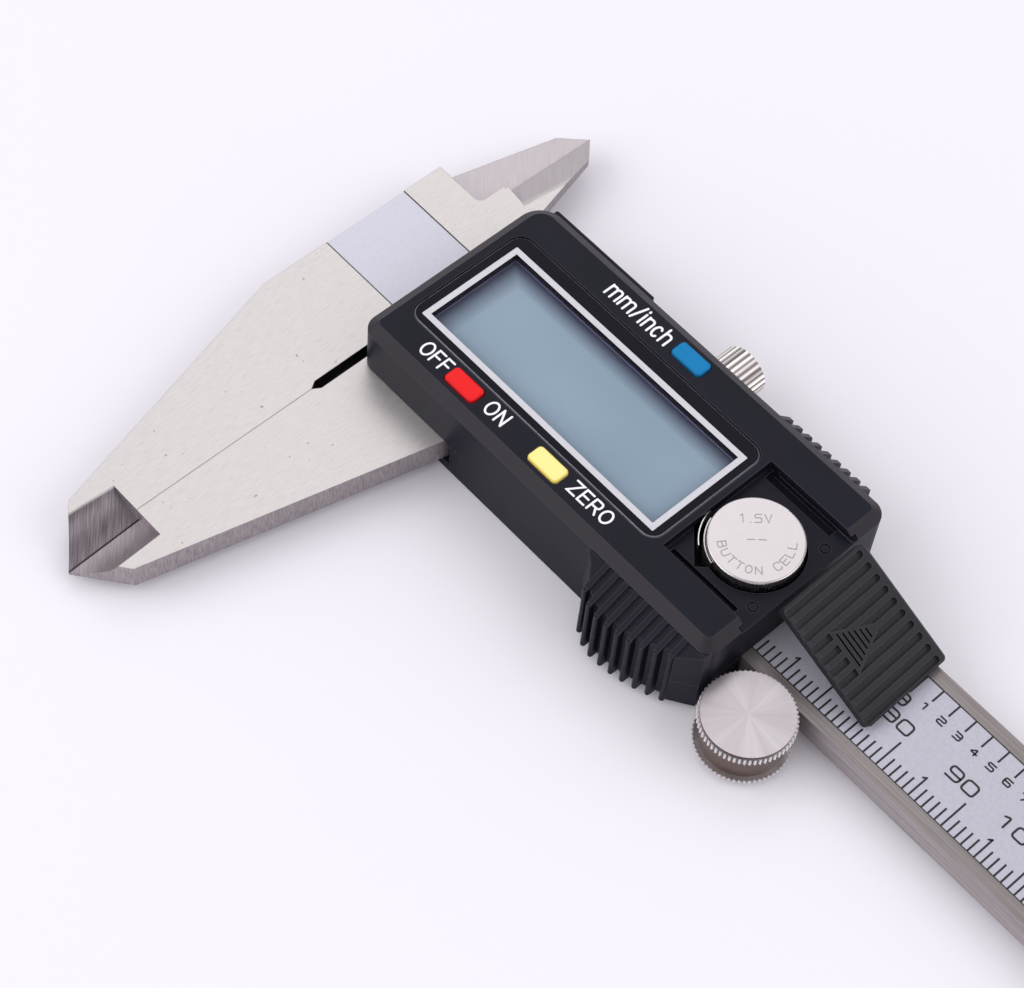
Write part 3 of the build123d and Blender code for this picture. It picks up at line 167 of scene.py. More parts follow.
def ground_stainless(name, hollow_shading_low, hollow_shading_high):
    """Hardened stainless steel. The top faces are lapped to a fine even satin, faces that lie
    below them are ground slantwise and darker, with painted shade in the tips' hollows, upright
    faces are ground across and painted darker as shade, and past the case the guide faces are
    ground lengthwise, which looks browner."""
    material, tree, shader = new_material(name, Metallic=0.65)
    place = add_node(tree, "SeparateXYZ", {"Vector": mm_coordinates(tree)})
    # lapping scratches run across the beam, about 0.2 mm apart
    face_grain = add_node(tree, "TexNoise", {"Vector": mm_coordinates(tree, (1, 0.1, 1)),
        "Scale": 5.0, "Detail": 6.0, "Roughness": 0.75})
    face_colour = add_node(tree, "ValToRGB", {"Fac": face_grain},
        stops=((0.35, "#C3BDBC"), (0.5, "#CDC8C6"), (0.65, "#D3CECC")))
    # pits of about 0.3 mm, a few in each square centimetre
    pits = add_node(tree, "TexNoise", {"Vector": mm_coordinates(tree), "Scale": 1.4, "Detail": 1.0,
        "Roughness": 0.4})
    in_pit = add_node(tree, "MapRange", [pits, 0.78, 0.8, 0.0, 0.6])
    pitted = add_node(tree, "Mix", {"Factor": in_pit, "A": face_colour, "B": "#6C6666"},
        data_type="RGBA")
    guide_grain = add_node(tree, "TexNoise", {"Vector": mm_coordinates(tree, (0.02, 1, 1)),
        "Scale": 4.0, "Detail": 4.0, "Roughness": 0.6})
    guide_colour = add_node(tree, "ValToRGB", {"Fac": guide_grain},
        stops=((0.3, "#7E7775"), (0.7, "#989190")))
    past_case = add_node(tree, "MapRange", [place.outputs["X"], CASE_END, GUIDE_START, 0.0, 1.0])
    top_colour = add_node(tree, "Mix", {"Factor": past_case, "A": pitted, "B": guide_colour},
        data_type="RGBA")
    # hollows and steps were ground with a coarser wheel, slantwise, about 0.3 mm apart
    hollow_grain = add_node(tree, "TexNoise", {"Vector": turned_coordinates(tree, 0.04, -42),
        "Scale": 7.0, "Detail": 3.0, "Roughness": 0.55})
    # painted shade: the hollows' colours are set darker than the faces, a facet turned from the
    # light darkest
    hollow_colour = add_node(tree, "ValToRGB", {"Fac": hollow_grain},
        stops=((0.33, hollow_shading_low), (0.67, hollow_shading_high)))
    horn_colour = add_node(tree, "ValToRGB", {"Fac": hollow_grain},
        stops=((0.3, "#B3ACAF"), (0.7, "#C1BABD")))
    at_horn = add_node(tree, "MapRange", [place.outputs["Y"], HORN_FOOT, HORN_FOOT + 1.0, 0.0, 1.0])
    # painted shadow: a dark line 0.2 mm wide in the crease where the two tips meet
    aside = add_node(tree, "Math", [place.outputs["X"]], operation="ABSOLUTE")
    line = add_node(tree, "MapRange", [aside, 0.08, 0.16, 1.0, 0.0])
    tip_colour = add_node(tree, "Mix", {"Factor": line, "A": hollow_colour, "B": "#191615"},
        data_type="RGBA")
    low_colour = add_node(tree, "Mix", {"Factor": at_horn, "A": tip_colour, "B": horn_colour},
        data_type="RGBA")
    below = add_node(tree, "MapRange",
        [place.outputs["Z"], FACE_TOP - 0.3, FACE_TOP - 0.1, 1.0, 0.0])
    up_colour = add_node(tree, "Mix", {"Factor": below, "A": top_colour, "B": low_colour},
        data_type="RGBA")
    # grinding marks stand upright on the jaws' edges, about 0.15 mm apart, and run along the beam
    edge_grain = add_node(tree, "TexNoise", {"Vector": mm_coordinates(tree, (1, 1, 0.12)),
        "Scale": 6.0, "Detail": 4.0, "Roughness": 0.6})
    jaw_edge = add_node(tree, "ValToRGB", {"Fac": edge_grain},
        stops=((0.3, "#857C80"), (0.7, "#B7AFB2")))
    long_grain = add_node(tree, "TexNoise", {"Vector": mm_coordinates(tree, (0.02, 1, 1)),
        "Scale": 3.0, "Detail": 3.0, "Roughness": 0.6})
    beam_edge = add_node(tree, "ValToRGB", {"Fac": long_grain},
        stops=((0.3, "#8F8788"), (0.7, "#B3ACAD")))
    edge_colour = add_node(tree, "Mix", {"Factor": past_case, "A": jaw_edge, "B": beam_edge},
        data_type="RGBA")
    # painted shade: upright faces take the darker edge colours; the grinding marks are real, the
    # darker tone stands for the shadowed floor that they reflect
    up = add_node(tree, "MapRange", [facing_up(tree), 0.15, 0.45, 0.0, 1.0])
    ground = add_node(tree, "Mix", {"Factor": up, "A": edge_colour, "B": up_colour},
        data_type="RGBA")
    # painted shadow: the walls of the slot between the jaws are painted near-black, for the shade
    # inside the slot
    between = add_node(tree, "MapRange", [aside, SLOT_HALF + 0.02, SLOT_HALF + 0.06, 1.0, 0.0])
    above_end = add_node(tree, "MapRange",
        [place.outputs["Y"], SLOT_END - 0.1, SLOT_END + 0.1, 0.0, 1.0])
    inside = add_node(tree, "MapRange",
        [place.outputs["Z"], FACE_TOP - 0.12, FACE_TOP - 0.04, 1.0, 0.0])
    in_slot = add_node(tree, "Math", [between, above_end], operation="MULTIPLY")
    slot_shade = add_node(tree, "Math", [in_slot, inside], operation="MULTIPLY")
    slot_shaded = add_node(tree, "Mix", {"Factor": slot_shade, "A": ground, "B": "#1B191A"},
        data_type="RGBA")
    # a band along the edges, 0.1 mm wide, is darker than the faces
    dark_edge = add_node(tree, "MapRange", [rubbed_edge(tree, 0.1), 0.0, 1.0, 0.0, 0.55])
    edged = add_node(tree, "Mix", {"Factor": dark_edge, "A": slot_shaded, "B": "#7B7474"},
        data_type="RGBA")
    polish = add_node(tree, "MapRange", [face_grain, 0.3, 0.7, 0.33, 0.43])
    connect(tree, shader, {"Base Color": edged, "Roughness": polish})
    relief = add_node(tree, "Mix", {"Factor": up, "A": edge_grain, "B": face_grain},
        data_type="RGBA")
    bump(tree, shader, relief, 0.2, 0.01)
    return material


def turned_stainless(name, centre, core, valley, crest):
    """Stainless steel turned and knurled on a lathe. Rays of light on the end face, which marks
    about the axis would draw, are painted in as a highlight; the knurl's crests are painted
    bright as a highlight, and its valleys and the core painted dark brown as shade and brown
    reflection."""
    material, tree, shader = new_material(name, Metallic=0.85, Anisotropic=0.5)
    place = mm_coordinates(tree, (1, 1, 0), centre)
    parts = add_node(tree, "SeparateXYZ", {"Vector": place})
    back = add_node(tree, "Math", [parts.outputs["Y"], -1.0], operation="MULTIPLY")
    tangent = add_node(tree, "CombineXYZ", {"X": back, "Y": parts.outputs["X"]})
    connect(tree, shader, {"Tangent": tangent})
    radius = add_node(tree, "VectorMath", [place], operation="LENGTH")
    rings = add_node(tree, "TexNoise", {"W": radius, "Scale": 9.0, "Detail": 3.0},
        noise_dimensions="1D")
    outward = add_node(tree, "VectorMath", [place], operation="NORMALIZE")
    rays = add_node(tree, "TexNoise", {"Vector": outward, "Scale": 1.7, "Detail": 6.0,
        "Roughness": 0.7})
    # painted highlight: light rays on the end face, from a noise along the outward direction
    ray_highlight = add_node(tree, "ValToRGB", {"Fac": rays},
        stops=((0.36, "#B3ABAE"), (0.5, "#BDB6B9"), (0.64, "#CAC4C7")))
    ring_colour = add_node(tree, "ValToRGB", {"Fac": rings},
        stops=((0.35, "#B7B0B2"), (0.65, "#C8C2C4")))
    end_colour = add_node(tree, "Mix", {"Factor": 0.3, "A": ray_highlight, "B": ring_colour},
        data_type="RGBA")
    depth = add_node(tree, "MapRange", [radius, core, crest, 0.0, 1.0])
    knee = (valley - core) / (crest - core)
    # painted shade and highlight: the core between the discs and the knurl's valleys dark brown,
    # the crests bright
    knurl_shading = add_node(tree, "ValToRGB", {"Fac": depth},
        stops=((0.02, "#6A5A52"), (0.7 * knee, "#5E5450"), (knee + 0.05, "#6E6666"),
               (0.9, "#F6F4F4")))
    up = facing_up(tree)
    surface = add_node(tree, "Mix", {"Factor": up, "A": knurl_shading, "B": end_colour},
        data_type="RGBA")
    polish = add_node(tree, "MapRange", [rings, 0.0, 1.0, 0.26, 0.36])
    connect(tree, shader, {"Base Color": surface, "Roughness": polish})
    return material


def knurled_stainless(centre, valley, crest):
    """Bright stainless steel of the lock screw, whose axis lies along Y: polished crests, valleys
    between the teeth painted dark as shade, and an end face turned to fine rings."""
    material, tree, shader = new_material("knurled_stainless_steel", Metallic=1.0)
    place = mm_coordinates(tree, (1, 0, 1), centre)
    radius = add_node(tree, "VectorMath", [place], operation="LENGTH")
    depth = add_node(tree, "MapRange", [radius, valley, crest, 0.0, 1.0])
    # painted shade: the valleys between the teeth are painted darker than the crests
    tooth_shading = add_node(tree, "ValToRGB", {"Fac": depth},
        stops=((0.1, "#7D7573"), (0.85, "#EBE7E4")))
    rings = add_node(tree, "TexNoise", {"W": radius, "Scale": 8.0, "Detail": 2.0},
        noise_dimensions="1D")
    end_colour = add_node(tree, "ValToRGB", {"Fac": rings},
        stops=((0.3, "#BDB6B3"), (0.7, "#D6D1CE")))
    coordinate = add_node(tree, "TexCoord")
    parts = add_node(tree, "SeparateXYZ", {"Vector": coordinate.outputs["Normal"]})
    outward = add_node(tree, "MapRange", [parts.outputs["Y"], 0.2, 0.4, 0.0, 1.0])
    surface = add_node(tree, "Mix", {"Factor": outward, "A": tooth_shading, "B": end_colour},
        data_type="RGBA")
    polish = add_node(tree, "MapRange", [rings, 0.0, 1.0, 0.22, 0.34])
    connect(tree, shader, {"Base Color": surface, "Roughness": polish})
    return material


def rolled_steel(name, colour):
    """Plain rolled or drawn steel of screws, springs and plates."""
    material, tree, shader = new_material(name, Metallic=1.0)
    grain = add_node(tree, "TexNoise", {"Vector": mm_coordinates(tree, (0.3, 1, 1)), "Scale": 4.0,
        "Detail": 3.0, "Roughness": 0.55})
    low = darker(colour, 0.88)
    surface = add_node(tree, "ValToRGB", {"Fac": grain}, stops=((0.3, low), (0.7, colour)))
    polish = add_node(tree, "MapRange", [grain, 0.0, 1.0, 0.26, 0.38])
    connect(tree, shader, {"Base Color": surface, "Roughness": polish})
    return material


BLACK, WHITE = (0, 0, 0, 1), (1, 1, 1, 1)


def moulded_abs(name, colour, rough, grain_depth, shine=0.15):
    """Black ABS moulded against a fine spark-eroded tool: a soft satin with a faint blue cast."""
    material, tree, shader = new_material(name, IOR=1.5, Specular_IOR_Level=shine)
    # spark-eroded grain is about 0.1 mm across, drawn at 0.2 mm so that it shows
    grain = add_node(tree, "TexNoise", {"Vector": mm_coordinates(tree), "Scale": 5.0, "Detail": 2.0,
        "Roughness": 0.5})
    shade = add_node(tree, "TexNoise", {"Vector": mm_coordinates(tree), "Scale": 0.12,
        "Detail": 2.0, "Roughness": 0.5})
    dark = darker(colour, 0.85)
    even = add_node(tree, "ValToRGB", {"Fac": shade}, stops=((0.35, dark), (0.65, colour)))
    # edges go grey, half-way to the grey edge colour at most: partly wear, partly a painted
    # highlight where the edges catch the light
    greyer = add_node(tree, "MapRange", [rubbed_edge(tree, 0.2), 0.0, 1.0, 0.0, 0.5])
    # painted highlight: slanted faces, the bevels, are painted a little paler and warmer, as where
    # the lamps light them
    slanted = add_node(tree, "ValToRGB", {"Fac": facing_up(tree)},
        stops=((0.35, BLACK), (0.7, WHITE), (0.8, WHITE), (0.87, BLACK)))
    bevel_highlight = add_node(tree, "MapRange", [slanted, 0.0, 1.0, 0.0, 0.3])
    bevel_lit = add_node(tree, "Mix", {"Factor": bevel_highlight, "A": even, "B": "#4A4446"}, data_type="RGBA")
    surface = add_node(tree, "Mix", {"Factor": greyer, "A": bevel_lit, "B": "#5A5862"},
        data_type="RGBA")
    polish = add_node(tree, "MapRange", [grain, 0.3, 0.7, rough - 0.04, rough + 0.06])
    connect(tree, shader, {"Base Color": surface, "Roughness": polish})
    bump(tree, shader, grain, 0.25, grain_depth)
    return material


def gloss_cap(name, colour, rim_shade):
    """Button cap of coloured ABS from a polished tool: smooth, with a soft highlight on its
    rounded edge, which is painted a deeper colour as shade."""
    material, tree, shader = new_material(name, IOR=1.5, Specular_IOR_Level=0.15)
    rounded = add_node(tree, "Bevel", {"Radius": 0.45 * MM}, samples=8)
    parts = add_node(tree, "SeparateXYZ", {"Vector": rounded})
    slope = add_node(tree, "MapRange", [parts.outputs["Z"], 0.7, 0.97, 1.0, 0.0])
    # painted shade: the rim turns to the deeper colour as it slopes away from the top
    surface = add_node(tree, "Mix", {"Factor": slope, "A": colour, "B": rim_shade}, data_type="RGBA")
    shrinkage = add_node(tree, "TexNoise", {"Vector": mm_coordinates(tree), "Scale": 1.2,
        "Detail": 2.0, "Roughness": 0.55})
    polish = add_node(tree, "MapRange", [shrinkage, 0.0, 1.0, 0.26, 0.34])
    connect(tree, shader, {"Base Color": surface, "Roughness": polish, "Normal": rounded})
    return material


def silvered_foil():
    """Printed polyester foil: matte silver grey with a slight lilac cast and a fine sparkle."""
    material, tree, shader = new_material("silvered_polyester_foil", Metallic=0.15, Roughness=0.5)
    grain = add_node(tree, "TexNoise", {"Vector": mm_coordinates(tree), "Scale": 2.5, "Detail": 5.0,
        "Roughness": 0.7})
    lit_foil = add_node(tree, "ValToRGB", {"Fac": grain}, stops=((0.3, "#C9C8D3"), (0.7, "#D2D1DC")))
    # painted shade: from X 0 to 60 the foil turns greyer, for the light falling off along the beam
    greyer = add_node(tree, "ValToRGB", {"Fac": grain}, stops=((0.3, "#B2B1BC"), (0.7, "#BEBDC8")))
    place = add_node(tree, "SeparateXYZ", {"Vector": mm_coordinates(tree)})
    past_case = add_node(tree, "MapRange", [place.outputs["X"], 0.0, 60.0, 0.0, 1.0])
    surface = add_node(tree, "Mix", {"Factor": past_case, "A": lit_foil, "B": greyer}, data_type="RGBA")
    connect(tree, shader, {"Base Color": surface})
    return material


def reflective_lcd():
    """Reflective liquid crystal cell: blue-grey behind polished glass."""
    material, tree, shader = new_material("reflective_lcd_cell", Roughness=0.3,
        Specular_IOR_Level=0.15)
    wash = add_node(tree, "TexNoise", {"Vector": mm_coordinates(tree, (0.5, 1, 1)), "Scale": 0.08,
        "Detail": 1.0, "Roughness": 0.55})
    grey = add_node(tree, "ValToRGB", {"Fac": wash}, stops=((0.35, "#98AFC1"), (0.65, "#A1B6C9")))
    # painted shadow: the display is painted darker and violet towards the edges that lie under the
    # window's left and upper border, where the border's shadow falls on it
    place = add_node(tree, "SeparateXYZ", {"Vector": mm_coordinates(tree)})
    left = add_node(tree, "MapRange", [place.outputs["X"], 5.0, 8.2, 0.9, 0.0])
    upper = add_node(tree, "MapRange", [place.outputs["Y"], 3.6, 6.1, 0.0, 0.9])
    border_shadow = add_node(tree, "Math", [left, upper], operation="MAXIMUM")
    surface = add_node(tree, "Mix", {"Factor": border_shadow, "A": grey, "B": "#3A3450"}, data_type="RGBA")
    connect(tree, shader, {"Base Color": surface})
    return material


def clear_acrylic():
    """Cast acrylic window: nearly all clear, with a faint smoky tint and a polished surface."""
    material, tree, shader = new_material("polished_acrylic", Roughness=0.03, Alpha=0.08, IOR=1.49)
    smudge = add_node(tree, "TexNoise", {"Vector": mm_coordinates(tree), "Scale": 0.2,
        "Detail": 2.0, "Roughness": 0.55})
    surface = add_node(tree, "ValToRGB", {"Fac": smudge},
        stops=((0.3, "#1C2128"), (0.7, "#22272E")))
    connect(tree, shader, {"Base Color": surface})
    return material


def polished_chamfer():
    """Diamond-cut chamfer of the acrylic window: bright where it faces a lamp; its pale grey colour
    is a painted highlight.
    """
    material, tree, shader = new_material("diamond_cut_acrylic_chamfer", Roughness=0.12, IOR=1.49)
    cut = add_node(tree, "TexNoise", {"Vector": mm_coordinates(tree), "Scale": 0.5, "Detail": 2.0,
        "Roughness": 0.55})
    surface = add_node(tree, "ValToRGB", {"Fac": cut}, stops=((0.3, "#7A7A84"), (0.7, "#8A8A94")))
    connect(tree, shader, {"Base Color": surface})
    return material


def shaded_mask(foot, head):
    """Painted shade around the display: black at the window, with a painted violet glow near the
    display for its reflected light.
    """
    material, tree, shader = new_material("painted_shade_around_display", Roughness=0.6,
        Specular_IOR_Level=0.1)
    place = add_node(tree, "SeparateXYZ", {"Vector": mm_coordinates(tree)})
    height = add_node(tree, "MapRange", [place.outputs["Z"], foot, head, 0.0, 1.0])
    shade = add_node(tree, "ValToRGB", {"Fac": height},
        stops=((0.0, "#8C88A6"), (0.6, "#5C5874"), (0.97, "#262432")))
    connect(tree, shader, {"Base Color": shade})
    return material


def printed_ink(name, colour):
    """Screen-printed ink, a flat even film."""
    material, tree, shader = new_material(name, Roughness=0.5)
    cover = add_node(tree, "TexNoise", {"Vector": mm_coordinates(tree), "Scale": 1.5, "Detail": 2.0,
        "Roughness": 0.55})
    thin = darker(colour, 0.94)
    surface = add_node(tree, "ValToRGB", {"Fac": cover}, stops=((0.3, thin), (0.7, colour)))
    connect(tree, shader, {"Base Color": surface})
    return material


def nickel_can():
    """Nickel-plated pressed steel can of the cell: bright, softly brushed by handling."""
    material, tree, shader = new_material("nickel_plated_can", Metallic=1.0)
    grain = add_node(tree, "TexNoise", {"Vector": mm_coordinates(tree, (1, 0.3, 1)), "Scale": 2.0,
        "Detail": 5.0, "Roughness": 0.7})
    surface = add_node(tree, "ValToRGB", {"Fac": grain}, stops=((0.3, "#C0BBBC"), (0.7, "#CEC9CA")))
    polish = add_node(tree, "MapRange", [grain, 0.3, 0.7, 0.22, 0.34])
    connect(tree, shader, {"Base Color": surface, "Roughness": polish})
    return material


def glass_epoxy():
    """Glass-epoxy board under black mask, its weave faintly showing, threads 0.5 mm apart."""
    material, tree, shader = new_material("glass_epoxy_board", Roughness=0.45)
    weave = add_node(tree, "TexWave", {"Vector": mm_coordinates(tree), "Scale": 0.6,
        "Distortion": 0.4})
    surface = add_node(tree, "ValToRGB", {"Fac": weave.outputs["Fac"]},
        stops=((0.0, "#101512"), (1.0, "#1A211D")))
    connect(tree, shader, {"Base Color": surface})
    return material


# the hollows' colours are painted shade: the fixed jaw's, turned from the light, darker than the
# slider's
beam_steel = ground_stainless("lapped_steel_of_the_beam", "#5F585C", "#8D858A")
jaw_steel = ground_stainless("lapped_steel_of_the_slider", "#8F868A", "#AAA1A5")
ROLLER_CENTRE = (corner("thumb_roller", 0) + corner("thumb_roller", 1)) / 2
ROLLER_CORE, ROLLER_VALLEY, ROLLER_CREST = 5.2, 5.55, 5.85
roller_steel = turned_stainless("turned_stainless_roller", ROLLER_CENTRE, ROLLER_CORE,
    ROLLER_VALLEY, ROLLER_CREST)
LOCK_CENTRE = (corner("lock_screw", 0) + corner("lock_screw", 1)) / 2
LOCK_VALLEY, LOCK_CREST = 3.08, 3.3
knurl_steel = knurled_stainless(LOCK_CENTRE, LOCK_VALLEY, LOCK_CREST)
leaf_steel = rolled_steel("tinned_contact_leaf", "#E9E4DE")
screw_steel = rolled_steel("zinc_plated_screw", "#A9A8A6")
spring_steel = rolled_steel("rolled_spring_steel", "#C9C6C3")
gold = rolled_steel("gold_plated_pad", "#D8B064")
case_abs = moulded_abs("satin_black_abs", "#171722", 0.42, 0.02)
cover_abs = moulded_abs("grained_black_abs", "#202025", 0.5, 0.05, 0.28)
window_black = moulded_abs("black_window_print", "#0D0D18", 0.25, 0.002, 0.1)
SIGHT_FOOT = corner("lcd_panel", 1)[2] + 0.02
SIGHT_HEAD = corner("display_window", 0)[2] + 0.01
sight_shade = shaded_mask(SIGHT_FOOT, SIGHT_HEAD)
polished_edge = polished_chamfer()
# the cell's marks are a darker tone of the can: painted shade along their relief
pressed_mark_shade = rolled_steel("pressed_cell_mark_shaded", "#9F9999")
foil = silvered_foil()
board = glass_epoxy()
resin = moulded_abs("cast_black_resin", "#141416", 0.4, 0.01)
silicone = moulded_abs("grey_silicone", "#3A3A3E", 0.6, 0.01)
can = nickel_can()
black_ink = printed_ink("black_scale_ink", "#1E1D23")
white_ink = printed_ink("white_case_ink", "#F4F3F6")
frame_ink = printed_ink("white_window_ink", "#CDCCD2")

finishes = {
    "beam": beam_steel, "sliding_jaw": jaw_steel, "depth_rod": jaw_steel, "end_stop": jaw_steel,
    "gib_strip": spring_steel,
    "end_stop_screws": screw_steel, "gib_screws": screw_steel, "rod_screws": screw_steel,
    "rear_cover_screws": screw_steel, "bracket_screw": screw_steel, "roller_axle": screw_steel,
    "scale_strip": board, "scale_label": foil, "circuit_board": board,
    "rear_cover": case_abs, "front_housing": case_abs, "port_cover": case_abs,
    "battery_cover": cover_abs,
    "display_window": clear_acrylic(), "lcd_panel": reflective_lcd(), "zebra_strips": silicone,
    "chip": resin, "tact_switches": resin,
    "contact_minus": spring_steel, "contact_plus": spring_steel,
    "port_contacts": gold, "roller_bracket": spring_steel,
    "power_button": gloss_cap("red_button_cap", "#E81C1F", "#B90F16"),
    "zero_button": gloss_cap("yellow_button_cap", "#F7EA96", "#DCC45E"),
    "unit_button": gloss_cap("blue_button_cap", "#0779B2", "#055A8A"),
    "button_cell": can, "lock_screw": knurl_steel, "thumb_roller": roller_steel,
}
for name, material in finishes.items():
    node = nodes[name]
    node.data.materials.clear()
    node.data.materials.append(material)


# ---------------------------------------------------------------------------
# Mesh helpers
# ---------------------------------------------------------------------------
def mesh_object(name, points, faces, material):
    """A piece from millimetre points and faces, in its place in the shared frame."""
    mesh = bpy.data.meshes.new(name)
    places = (np.asarray(points, float) * MM).tolist()
    mesh.from_pydata(places, [], [list(map(int, face)) for face in faces])
    mesh.validate()
    mesh.update()
    mesh.materials.append(material)
    piece = bpy.data.objects.new(name, mesh)
    scene.collection.objects.link(piece)
    return piece


def film(piece, thickness):
    """Give a flat printed piece its ink thickness, downwards from its top."""
    solid = piece.modifiers.new("ink", "SOLIDIFY")
    solid.thickness = thickness * MM
    solid.offset = -1.0
    return piece


def bars(boxes, level):
    """Flat rectangles (x0, y0, x1, y1) at one level, as points and quads."""
    box = np.asarray(boxes, float)
    corners = box[:, [0, 1, 2, 1, 2, 3, 0, 3]].reshape(-1, 2)
    points = np.column_stack([corners, np.full(len(corners), level)])
    return points, np.arange(len(points)).reshape(-1, 4)


def rounded_path(points, radius):
    """Open path whose corners are arcs: each corner is a quadratic curve between points
    that lie the radius away from it along both of its sides."""
    points = np.asarray(points, float)
    path = [points[:1]]
    for before, corner, after in zip(points[:-2], points[1:-1], points[2:]):
        back = before - corner
        ahead = after - corner
        reach = min(radius, 0.5 * np.linalg.norm(back), 0.5 * np.linalg.norm(ahead))
        start = corner + back / np.linalg.norm(back) * reach
        end = corner + ahead / np.linalg.norm(ahead) * reach
        t = np.linspace(0, 1, 6)[:, None]
        path.append((1 - t) ** 2 * start + 2 * t * (1 - t) * corner + t ** 2 * end)
    path.append(points[-1:])
    return np.vstack(path)


def ribbon(path, width):
    """Flat stroke of even width along a path; an open path has round ends.

    Each path point gets one point on either side, at half the width along the mean normal of
    its two neighbouring directions, stretched by the mitre; half circles close both ends."""
    path = np.asarray(path, float)
    keep = np.r_[True, np.linalg.norm(np.diff(path, axis=0), axis=1) > 1e-6]
    path = path[keep]
    step = np.diff(path, axis=0)
    step /= np.linalg.norm(step, axis=1)[:, None]
    closed = np.allclose(path[0], path[-1])
    before = np.vstack([step[-1:] if closed else step[:1], step])
    after = np.vstack([step, step[:1] if closed else step[-1:]])
    mean = before + after
    mean /= np.linalg.norm(mean, axis=1)[:, None]
    stretch = 1 / np.maximum(0.5, (mean * after).sum(axis=1))
    side = np.column_stack([-mean[:, 1], mean[:, 0]]) * (stretch * width / 2)[:, None]
    count = len(path)
    points = np.vstack([path + side, path - side])
    index = np.arange(count - 1)
    quads = np.column_stack([index + count, index + count + 1, index + 1, index])
    faces = [tuple(q) for q in quads]
    if closed:
        return points, faces
    turn = np.linspace(0, math.pi, 7)[1:-1]
    ends = ((path[-1], step[-1], count - 1, 2 * count - 1), (path[0], -step[0], count, 0))
    for end, direction, left, right in ends:
        across = np.array([direction[1], -direction[0]])
        arc = end + (np.cos(turn)[:, None] * across + np.sin(turn)[:, None] * direction) * width / 2
        first = len(points)
        points = np.vstack([points, arc])
        faces.append((right, *range(first, first + len(arc)), left))
    return points, faces


# strokes of each character on a unit square; a closed outline ends where it starts
ROUND_BOX = [(0.5, 0), (1, 0), (1, 1), (0, 1), (0, 0), (0.5, 0)]
OVAL = [(0.5 + 0.5 * math.sin(a), 0.5 - 0.5 * math.cos(a)) for a in np.linspace(0, 2 * math.pi, 33)]
OPEN_ROUND = [(0.5 + 0.5 * math.cos(a), 0.36 + 0.36 * math.sin(a))
              for a in np.linspace(0.75, 5.53, 25)]
DIGITS = {
    "0": [ROUND_BOX],
    "1": [[(0.2, 0.78), (0.6, 1), (0.6, 0)]],
    "2": [[(0, 1), (1, 1), (1, 0.5), (0, 0.5), (0, 0), (1, 0)]],
    "3": [[(0, 1), (1, 1), (1, 0), (0, 0)], [(0.2, 0.52), (1, 0.52)]],
    "4": [[(0.75, 0), (0.75, 1), (0, 0.3), (1, 0.3)]],
    "5": [[(1, 1), (0, 1), (0, 0.55), (1, 0.55), (1, 0), (0, 0)]],
    "6": [[(1, 1), (0, 1), (0, 0), (1, 0), (1, 0.55), (0, 0.55)]],
    "7": [[(0, 1), (1, 1), (0.4, 0)]],
    "8": [ROUND_BOX, [(0, 0.52), (1, 0.52)]],
    "9": [[(1, 0.45), (0, 0.45), (0, 1), (1, 1), (1, 0), (0, 0)]],
}
# letters as (strokes, bend): the bend is the corner radius in shares of the letter height
LETTERS = {
    "O": ([OVAL], 0),
    "F": ([[(1, 1), (0, 1), (0, 0)], [(0, 0.52), (0.88, 0.52)]], 0),
    "N": ([[(0, 0), (0, 1)], [(0, 1), (1, 0)], [(1, 0), (1, 1)]], 0),
    "Z": ([[(0, 1), (1, 1), (0, 0), (1, 0)]], 0),
    "E": ([[(1, 1), (0, 1), (0, 0), (1, 0)], [(0, 0.52), (0.9, 0.52)]], 0),
    "R": ([[(0, 0), (0, 1)], [(0, 1), (0.92, 1), (0.92, 0.47), (0, 0.47)],
           [(0.55, 0.47), (1, 0)]], 0.22),
    "B": ([[(0, 0), (0, 1)], [(0, 1), (0.9, 1), (0.9, 0.52), (0, 0.52)],
           [(0, 0.52), (1, 0.52), (1, 0), (0, 0)]], 0.22),
    "U": ([[(0, 1), (0, 0), (1, 0), (1, 1)]], 0.3),
    "T": ([[(0, 1), (1, 1)], [(0.5, 1), (0.5, 0)]], 0),
    "C": ([[(1, 0.75), (1, 1), (0, 1), (0, 0), (1, 0), (1, 0.25)]], 0.3),
    "L": ([[(0, 1), (0, 0), (1, 0)]], 0),
    "m": ([[(0, 0), (0, 0.74)], [(0, 0.3), (0, 0.72), (0.5, 0.72), (0.5, 0)],
           [(0.5, 0.3), (0.5, 0.72), (1, 0.72), (1, 0)]], 0.2),
    "n": ([[(0, 0), (0, 0.74)], [(0, 0.3), (0, 0.72), (1, 0.72), (1, 0)]], 0.22),
    "h": ([[(0, 0), (0, 1)], [(0, 0.3), (0, 0.72), (1, 0.72), (1, 0)]], 0.22),
    "i": ([[(0.5, 0), (0.5, 0.72)], [(0.5, 0.93), (0.5, 1.0)]], 0),
    "c": ([OPEN_ROUND], 0),
    "/": ([[(0, -0.03), (1, 1.03)]], 0),
    "1": ([[(0.2, 0.8), (0.55, 1), (0.55, 0)]], 0),
    ".": ([[(0.5, 0), (0.5, 0.05)]], 0),
    "5": ([[(1, 1), (0.1, 1), (0, 0.55), (1, 0.6), (1, 0), (0, 0)]], 0.2),
    "V": ([[(0, 1), (0.5, 0), (1, 1)]], 0),
    " ": ([], 0),
}
LIFT = 0.0015


